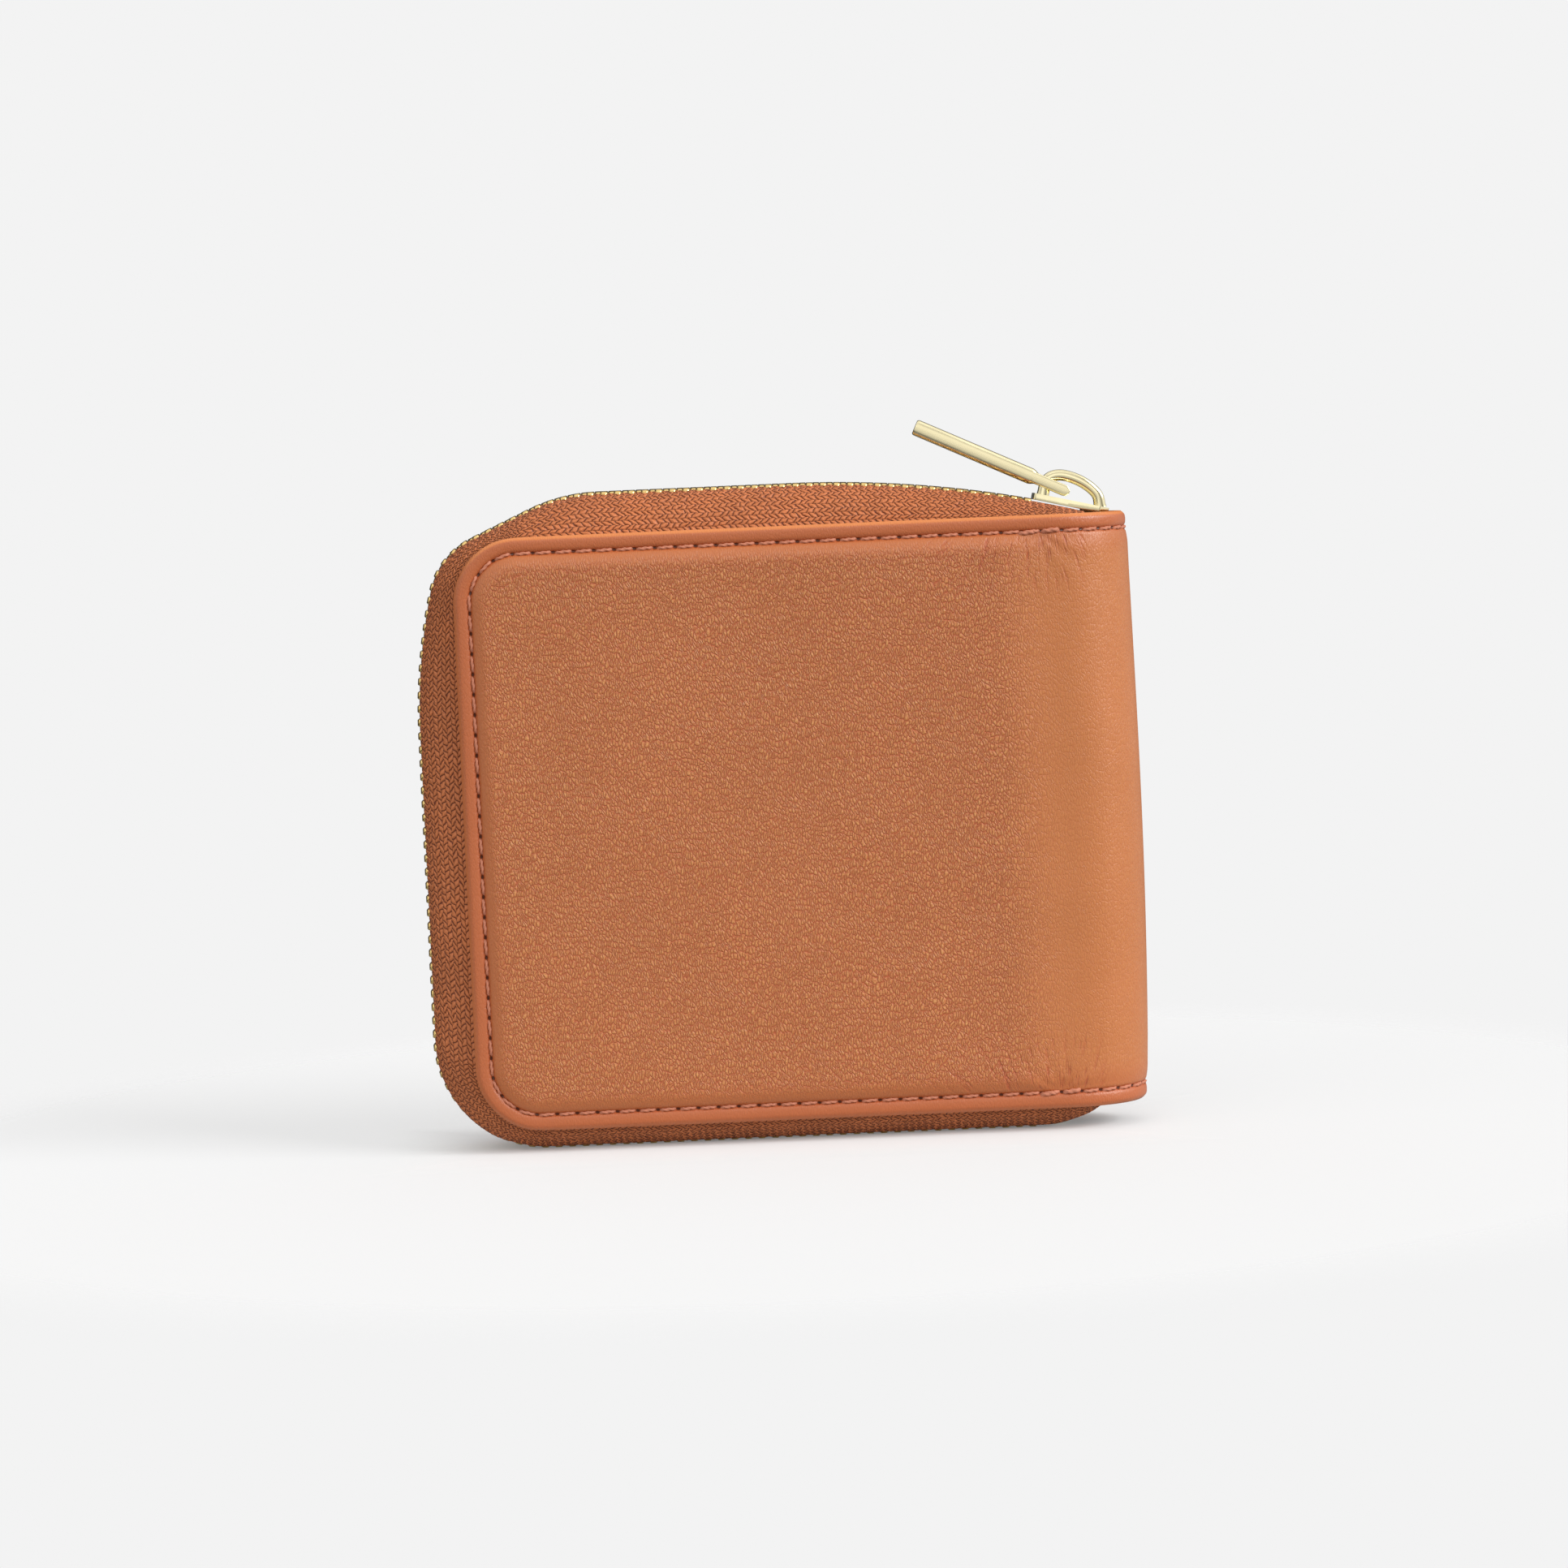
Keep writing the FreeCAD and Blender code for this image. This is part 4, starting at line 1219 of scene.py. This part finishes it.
class WALLET_OT_camera(bpy.types.Operator):
    """Place the camera at the wallet's portrait view"""

    bl_idname = "wallet.camera"
    bl_label = "Camera"

    def execute(self, context):
        data = bpy.data.cameras.new("portrait_camera")
        camera = bpy.data.objects.new("portrait_camera", data)
        context.scene.collection.objects.link(camera)
        distance = 0.70
        data.sensor_width = 36.0
        data.lens = 105.3
        data.clip_start = 0.02
        elevation = math.radians(4.0)
        roll = math.radians(2.5)
        aim = Vector((0.0007, -HALF_DEPTH, TOP - 0.0393))
        back = Vector((0, -math.cos(elevation), math.sin(elevation)))
        side = Vector((math.cos(roll), 0, -math.sin(roll)))
        side = (side - back * side.dot(back)).normalized()
        up = back.cross(side)
        camera.matrix_world = Matrix.Translation(aim + back * distance) @ Matrix(
            (side, up, back)
        ).transposed().to_4x4()
        context.scene.camera = camera
        return {"FINISHED"}


class WALLET_OT_stage(bpy.types.Operator):
    """Make the pale floor, the even background and the soft lights"""

    bl_idname = "wallet.stage"
    bl_label = "Stage"

    def execute(self, context):
        scene = context.scene
        scene.view_settings.view_transform = "Standard"
        self.world(scene)
        self.floor(context)
        self.sun(context, "key", (0.78, -0.42, 0.50), 34.0, 3.0)
        self.sun(context, "front", (-0.10, -0.85, 0.45), 60.0, 0.50)
        self.sun(context, "fill", (-0.80, -0.40, 0.30), 60.0, 0.60)
        return {"FINISHED"}

    def world(self, scene):
        """Even backdrop for the camera, and a soft studio for the light: bright above, dim at the sides."""
        world = bpy.data.worlds.new("studio")
        scene.world = world
        world.use_nodes = True
        tree = world.node_tree
        ambient = tree.nodes["Background"]
        place = tree.nodes.new("ShaderNodeTexCoord").outputs["Generated"]
        parts = tree.nodes.new("ShaderNodeSeparateXYZ")
        tree.links.new(place, parts.inputs[0])
        above = times(tree, ramp(tree, parts.outputs[2], 0.05, 0.85), 0.55)
        ahead = times(tree, ramp(tree, times(tree, parts.outputs[1], -1.0), 0.2, 1.0), 0.30)
        light = maths(tree, "ADD", maths(tree, "ADD", above, ahead), 0.20)
        tree.links.new(light, ambient.inputs["Strength"])
        ambient.inputs["Color"].default_value = (1.0, 1.0, 1.0, 1.0)
        mirror = tree.nodes.new("ShaderNodeBackground")
        front = ramp(tree, times(tree, parts.outputs[1], -1.0), 0.86, 1.0)
        high = ramp(tree, parts.outputs[2], 0.55, 0.80)
        right = ramp(tree, parts.outputs[0], 0.35, 0.85)
        shine = maths(tree, "ADD", times(tree, front, 0.62), times(tree, high, 0.95))
        shine = maths(tree, "ADD", maths(tree, "ADD", shine, times(tree, right, 0.95)), 0.09)
        tree.links.new(shine, mirror.inputs["Strength"])
        mirror.inputs["Color"].default_value = (1.0, 1.0, 1.0, 1.0)
        plain = tree.nodes.new("ShaderNodeBackground")
        plain.inputs["Color"].default_value = (0.896, 0.896, 0.896, 1.0)
        path = tree.nodes.new("ShaderNodeLightPath")
        reflect = tree.nodes.new("ShaderNodeMixShader")
        tree.links.new(path.outputs["Is Glossy Ray"], reflect.inputs[0])
        tree.links.new(ambient.outputs[0], reflect.inputs[1])
        tree.links.new(mirror.outputs[0], reflect.inputs[2])
        choose = tree.nodes.new("ShaderNodeMixShader")
        tree.links.new(path.outputs["Is Camera Ray"], choose.inputs[0])
        tree.links.new(reflect.outputs[0], choose.inputs[1])
        tree.links.new(plain.outputs[0], choose.inputs[2])
        tree.links.new(choose.outputs[0], tree.nodes["World Output"].inputs["Surface"])

    def floor(self, context):
        mesh = bpy.data.meshes.new("floor")
        half = 1.2
        corners = [(-half, -half, 0), (half, -half, 0), (half, half, 0), (-half, half, 0)]
        mesh.from_pydata(corners, [], [(0, 1, 2, 3)])
        floor = bpy.data.objects.new("floor", mesh)
        context.scene.collection.objects.link(floor)
        surface = bpy.data.materials.new("pale_floor")
        surface.use_nodes = True
        tree = surface.node_tree
        shader = tree.nodes["Principled BSDF"]
        shader.inputs["Base Color"].default_value = (0.78, 0.78, 0.78, 1.0)
        shader.inputs["Roughness"].default_value = 1.0
        shader.inputs["Specular IOR Level"].default_value = 0.0
        place = tree.nodes.new("ShaderNodeTexCoord").outputs["Object"]
        gone = tree.nodes.new("ShaderNodeVectorMath")
        gone.operation = "LENGTH"
        tree.links.new(place, gone.inputs[0])
        fade = ramp(tree, gone.outputs["Value"], 0.10, 0.17)
        parts = tree.nodes.new("ShaderNodeSeparateXYZ")
        tree.links.new(place, parts.inputs[0])
        off_foot = ramp(tree, maths(tree, "ABSOLUTE", parts.outputs[1]), 8 * MM, 26 * MM)
        off_end = ramp(tree, maths(tree, "ABSOLUTE", parts.outputs[0]), 44 * MM, 66 * MM)
        thin = maths(tree, "ADD", times(tree, maths(tree, "MAXIMUM", off_foot, off_end), 0.45), 0.20)
        fade = maths(tree, "MAXIMUM", fade, thin)
        clear = tree.nodes.new("ShaderNodeBsdfTransparent")
        choose = tree.nodes.new("ShaderNodeMixShader")
        tree.links.new(fade, choose.inputs[0])
        tree.links.new(shader.outputs[0], choose.inputs[1])
        tree.links.new(clear.outputs[0], choose.inputs[2])
        tree.links.new(choose.outputs[0], tree.nodes["Material Output"].inputs["Surface"])
        mesh.materials.append(surface)

    def sun(self, context, name, towards, spread, strength):
        data = bpy.data.lights.new(name, "SUN")
        data.angle = math.radians(spread)
        data.energy = strength
        lamp = bpy.data.objects.new(name, data)
        context.scene.collection.objects.link(lamp)
        lamp.location = Vector(towards)
        lamp.rotation_euler = Vector(towards).to_track_quat("Z", "Y").to_euler()


class WALLET_OT_leather(bpy.types.Operator):
    """Make the covers and the spine from one wrap of leather"""

    bl_idname = "wallet.leather"
    bl_label = "Leather"

    def execute(self, context):
        for side, name in ((FRONT, "front"), (REAR, "rear")):
            rear = side == REAR
            reach = (0, FLAT_CUT) if not rear else (GIRTH - FLAT_CUT, GIRTH)
            cover = skin_piece(name + "_cover_leather", *reach, rounded=True)
            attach(cover, name + "_half")
            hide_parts(name + "_cover")
            reach = (FLAT_CUT, QUARTER_CUT) if not rear else (GIRTH - QUARTER_CUT, GIRTH - FLAT_CUT)
            fold = skin_piece(name + "_fold_leather", *reach)
            blend_spine(fold, "outer")
            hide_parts(name + "_spine_leather")
        middle = skin_piece("spine_middle_leather", QUARTER_CUT, GIRTH - QUARTER_CUT)
        blend_spine(middle, "middle")
        return {"FINISHED"}


class WALLET_OT_stitches(bpy.types.Operator):
    """Sew the seam that runs round both covers and over the spine"""

    bl_idname = "wallet.stitches"
    bl_label = "Stitches"

    def execute(self, context):
        for side, name in ((FRONT, "front"), (REAR, "rear")):
            groups = seam_stitches(side)
            cover = stitch_mesh(name + "_cover_stitches", groups["cover"])
            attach(cover, name + "_half")
            outer = stitch_mesh(name + "_fold_stitches", groups["outer"])
            blend_spine(outer, "outer")
            middle = stitch_mesh(name + "_spine_stitches", groups["middle"])
            blend_spine(middle, "middle")
        return {"FINISHED"}


class WALLET_OT_zip(bpy.types.Operator):
    """Make the woven zip tapes and the two rows of teeth"""

    bl_idname = "wallet.zip"
    bl_label = "Zip"

    def execute(self, context):
        for side in (FRONT, REAR):
            tape_piece(side)
            teeth_piece(side)
        return {"FINISHED"}


def swept_tube(name, centre, half_width, half_depth, finish, around=28, softness=(0.75, 0.85), y_place=0.0):
    """A closed rounded band along a line of (x, z) points. half_depth is given at every point.

    A lower softness makes its section squarer."""
    tangent = np.gradient(centre, axis=0)
    tangent /= np.linalg.norm(tangent, axis=1)[:, None]
    normal = np.stack([-tangent[:, 1], tangent[:, 0]], -1)
    angle = np.linspace(0, 2 * math.pi, around, endpoint=False)
    across = y_place + np.sign(np.cos(angle)) * np.abs(np.cos(angle)) ** softness[0] * half_width
    out = np.sign(np.sin(angle)) * np.abs(np.sin(angle)) ** softness[1]
    x = centre[:, None, 0] + normal[:, None, 0] * out[None, :] * half_depth[:, None]
    z = centre[:, None, 1] + normal[:, None, 1] * out[None, :] * half_depth[:, None]
    y = np.broadcast_to(across[None, :], x.shape)
    points = np.stack([x, y, z], -1)
    count = len(centre)
    index = np.arange(count * around).reshape(count, around)
    wrapped = np.roll(index, -1, 1)
    faces = np.stack([index[:-1], wrapped[:-1], wrapped[1:], index[1:]], -1).reshape(-1, 4).tolist()
    faces += [index[0][::-1].tolist(), index[-1].tolist()]
    return finish_mesh(name, points, faces, [finish], sharp=60.0)


def slider_frame(u, n):
    """(x, z) of a place in the slider's own frame: u along the tape, n out from it."""
    radius = TOP_ARC + np.asarray(n)
    x = TOP_PEAK_X + radius * math.sin(SLIDER_SLOPE) + np.asarray(u) * math.cos(SLIDER_SLOPE)
    z = ARC_Z + radius * math.cos(SLIDER_SLOPE) - np.asarray(u) * math.sin(SLIDER_SLOPE)
    return np.stack([x, z], -1)


def smooth_curve(points, count):
    """A Catmull-Rom curve through points, as count points at about equal steps."""
    p = np.asarray(points, float)
    p = np.concatenate([[2 * p[0] - p[1]], p, [2 * p[-1] - p[-2]]])
    t = np.linspace(0, 1, 40, endpoint=False)[:, None]
    runs = []
    for a, b, c, d in zip(p, p[1:], p[2:], p[3:]):
        square = 2 * a - 5 * b + 4 * c - d
        cube = 3 * b - a - 3 * c + d
        runs.append(0.5 * (2 * b + (c - a) * t + square * t**2 + cube * t**3))
    curve = np.concatenate(runs + [p[-2:-1]])
    length = np.concatenate([[0], np.cumsum(np.hypot(*np.diff(curve, axis=0).T))])
    at = np.linspace(0, length[-1], count)
    return np.stack([np.interp(at, length, curve[:, k]) for k in (0, 1)], -1)


class WALLET_OT_metal(bpy.types.Operator):
    """Finish the slider, its crown, the pull and the small clamps"""

    bl_idname = "wallet.metal"
    bl_label = "Metal"

    def execute(self, context):
        self.crown()
        self.pull()
        rounding = {
            "slider_body": 0.35, "coin_slider": 0.12,
            "coin_pull": 0.15, "front_bottom_stop": 0.25, "rear_bottom_stop": 0.25, "coin_zip_teeth": 0.15,
        }
        for node, width in rounding.items():
            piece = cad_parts[node]
            finish = "brushed_gold" if node == "coin_pull" else "polished_gold"
            piece.data.materials.clear()
            piece.data.materials.append(material(finish))
            weld = piece.modifiers.new("joined_corners", "WELD")
            weld.merge_threshold = 0.001 * MM
            soften = piece.modifiers.new("soft_edges", "BEVEL")
            soften.width = width * MM
            soften.segments = 4
            soften.limit_method = "ANGLE"
            soften.angle_limit = math.radians(40)
            piece.data.set_sharp_from_angle(angle=math.radians(40))
        return {"FINISHED"}

    def crown(self):
        """The polished loop that holds the pull, round in section and wider at its two feet."""
        line = [(-3.45, 1.0), (-3.3, 3.6), (-1.4, 4.75), (1.8, 4.45), (4.6, 3.05), (5.65, 1.0)]
        centre = slider_frame(*(np.array(line).T * MM))
        curve = smooth_curve(centre, 64)
        share = np.linspace(-1, 1, len(curve))
        half_depth = (0.86 + 0.14 * np.abs(share) ** 6) * MM
        piece = swept_tube("crown_loop", curve, 0.78 * MM, half_depth, "polished_gold")
        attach(piece, "slider")
        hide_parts("slider_crown")

    def pull(self):
        """The bar, whose shoulder narrows to two prongs that hold a pin under the crown."""
        eye = PRONG_DEPTH / 2
        pin = np.array([PULL_HIGH.x - eye, PULL_LOW.z + eye])
        heading = np.array([-math.cos(PULL_TILT), math.sin(PULL_TILT)])
        reach = np.concatenate([np.linspace(BAR_START, BAR_START + 1.6 * MM, 12), [BAR_END - 0.45 * MM],
                                np.linspace(BAR_END - 0.3 * MM, BAR_END, 5)])
        swell = smoothstep((reach - BAR_START) / (1.3 * MM))
        close = 1 - 0.16 * np.clip((reach - BAR_END + 0.3 * MM) / (0.3 * MM), 0, 1) ** 2
        half_depth = (eye + (BAR_DEPTH / 2 - eye) * swell) * close
        width = (PULL_HIGH.y - PULL_LOW.y) / 2
        bar = swept_tube("pull_bar", pin + reach[:, None] * heading, width, half_depth, "brushed_gold",
                         around=48, softness=(0.42, 0.60))
        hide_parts("pull_tab")
        thick = (width - PRONG_GAP / 2) / 2
        stem = np.linspace(-eye, BAR_START + 0.8 * MM, 40)
        round_end = np.sqrt(np.clip(1 - np.clip(-stem / eye, 0, 1) ** 2, 0.02, 1)) * eye
        pieces = [bar]
        for side, name in ((FRONT, "front"), (REAR, "rear")):
            pieces.append(swept_tube(f"pull_{name}_prong", pin + stem[:, None] * heading, thick, round_end,
                                     "brushed_gold", softness=(0.42, 0.70), y_place=side * (width - thick)))
        around = np.linspace(0, 2 * math.pi, 24, endpoint=False)
        ring_x = pin[0] + PIN_RADIUS * np.cos(around)
        ring_z = pin[1] + PIN_RADIUS * np.sin(around)
        ring = np.stack([ring_x, 0 * around, ring_z], -1)
        half_pin = PRONG_GAP / 2 + 0.1 * MM
        rods = np.stack([ring + np.array([0, y, 0]) for y in (-half_pin, half_pin)])
        index = np.arange(48).reshape(2, 24)
        wrapped = np.roll(index, -1, 1)
        faces = np.stack([index[0], wrapped[0], wrapped[1], index[1]], -1).tolist()
        faces += [index[0][::-1].tolist(), index[1].tolist()]
        pieces.append(finish_mesh("pull_pin", rods, faces, ["polished_gold"]))
        for piece in pieces:
            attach(piece, "pull")


class WALLET_OT_inside(bpy.types.Operator):
    """Make the linings, pockets and card slots"""

    bl_idname = "wallet.inside"
    bl_label = "Inside"

    def execute(self, context):
        leather = ["pebbled_leather", "turned_edge"]
        for side, name in ((FRONT, "front"), (REAR, "rear")):
            body = name + "_half"
            inner_sheet(name + "_lining", body, side, ["lining_twill"], 8.4 * MM, False)
            inner_sheet(name + "_note_pocket", body, side, leather, 7.6 * MM, True)
            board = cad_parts[name + "_board"]
            board.data.materials.clear()
            board.data.materials.append(material("fibre_board"))
        for index in range(1, 5):
            node = f"front_card_slot_{index}"
            inner_sheet(node, "front_half", FRONT, leather, 4.0 * MM, True)
        inner_sheet("coin_pocket_back", "rear_half", REAR, leather, 4.0 * MM, False)
        inner_sheet("coin_pocket_front", "rear_half", REAR, leather, 1.0 * MM, True)
        inner_sheet("coin_pocket_header", "rear_half", REAR, leather, 1.0 * MM, False)
        cloth = ["lining_twill"]
        inner_sheet("coin_zip_tape", "rear_half", REAR, cloth, 0.3 * MM, False, 0.0)
        self.spine_lining()
        return {"FINISHED"}

    def spine_lining(self):
        for side, name in ((FRONT, "front"), (REAR, "rear")):
            start, stop = (FLAT - 1 * MM, QUARTER_CUT)
            if side == REAR:
                start, stop = GIRTH - stop, GIRTH - start
            piece = self.lining_strip(name + "_fold_lining", start, stop)
            blend_spine(piece, "outer")
            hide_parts(name + "_spine_lining")
        middle = self.lining_strip("spine_middle_lining", QUARTER_CUT, GIRTH - QUARTER_CUT)
        blend_spine(middle, "middle")

    def lining_strip(self, name, start, stop):
        v = spaced(0.6 * MM, HEIGHT - 0.6 * MM, 1.0 * MM)
        u = spaced(start, stop, 0.5 * MM)
        grid_u, grid_v = np.meshgrid(u, v)
        face = on_skin(grid_u, grid_v, np.full_like(grid_u, -1.5 * MM))
        back = on_skin(grid_u, grid_v, np.full_like(grid_u, -1.9 * MM))
        layers = {"skin_place": np.stack([grid_u, grid_v, 0 * grid_u], -1)}
        return shell(name, face, back, layers, ["lining_twill"])


class WALLET_PT_panel(bpy.types.Panel):
    """Lists the wallet's builders"""

    bl_idname = "WALLET_PT_panel"
    bl_label = "Wallet"
    bl_space_type = "VIEW_3D"
    bl_region_type = "UI"
    bl_category = "Wallet"

    def draw(self, context):
        column = self.layout.column()
        for maker in MAKERS:
            column.operator(maker.bl_idname)


MAKERS = (
    WALLET_OT_camera,
    WALLET_OT_stage,
    WALLET_OT_leather,
    WALLET_OT_stitches,
    WALLET_OT_zip,
    WALLET_OT_metal,
    WALLET_OT_inside,
)
CLASSES = (WalletSizes, WalletColours, *MAKERS, WALLET_PT_panel)


def register():
    for item in CLASSES:
        bpy.utils.register_class(item)
    bpy.types.Scene.wallet_sizes = PointerProperty(type=WalletSizes)
    bpy.types.Scene.wallet_colours = PointerProperty(type=WalletColours)


def unregister():
    del bpy.types.Scene.wallet_colours
    del bpy.types.Scene.wallet_sizes
    for item in reversed(CLASSES):
        bpy.utils.unregister_class(item)


def main():
    register()
    bpy.ops.wallet.camera()
    bpy.ops.wallet.stage()
    bpy.ops.wallet.leather()
    bpy.ops.wallet.stitches()
    bpy.ops.wallet.zip()
    bpy.ops.wallet.metal()
    bpy.ops.wallet.inside()


if __name__ == "__main__":
    main()
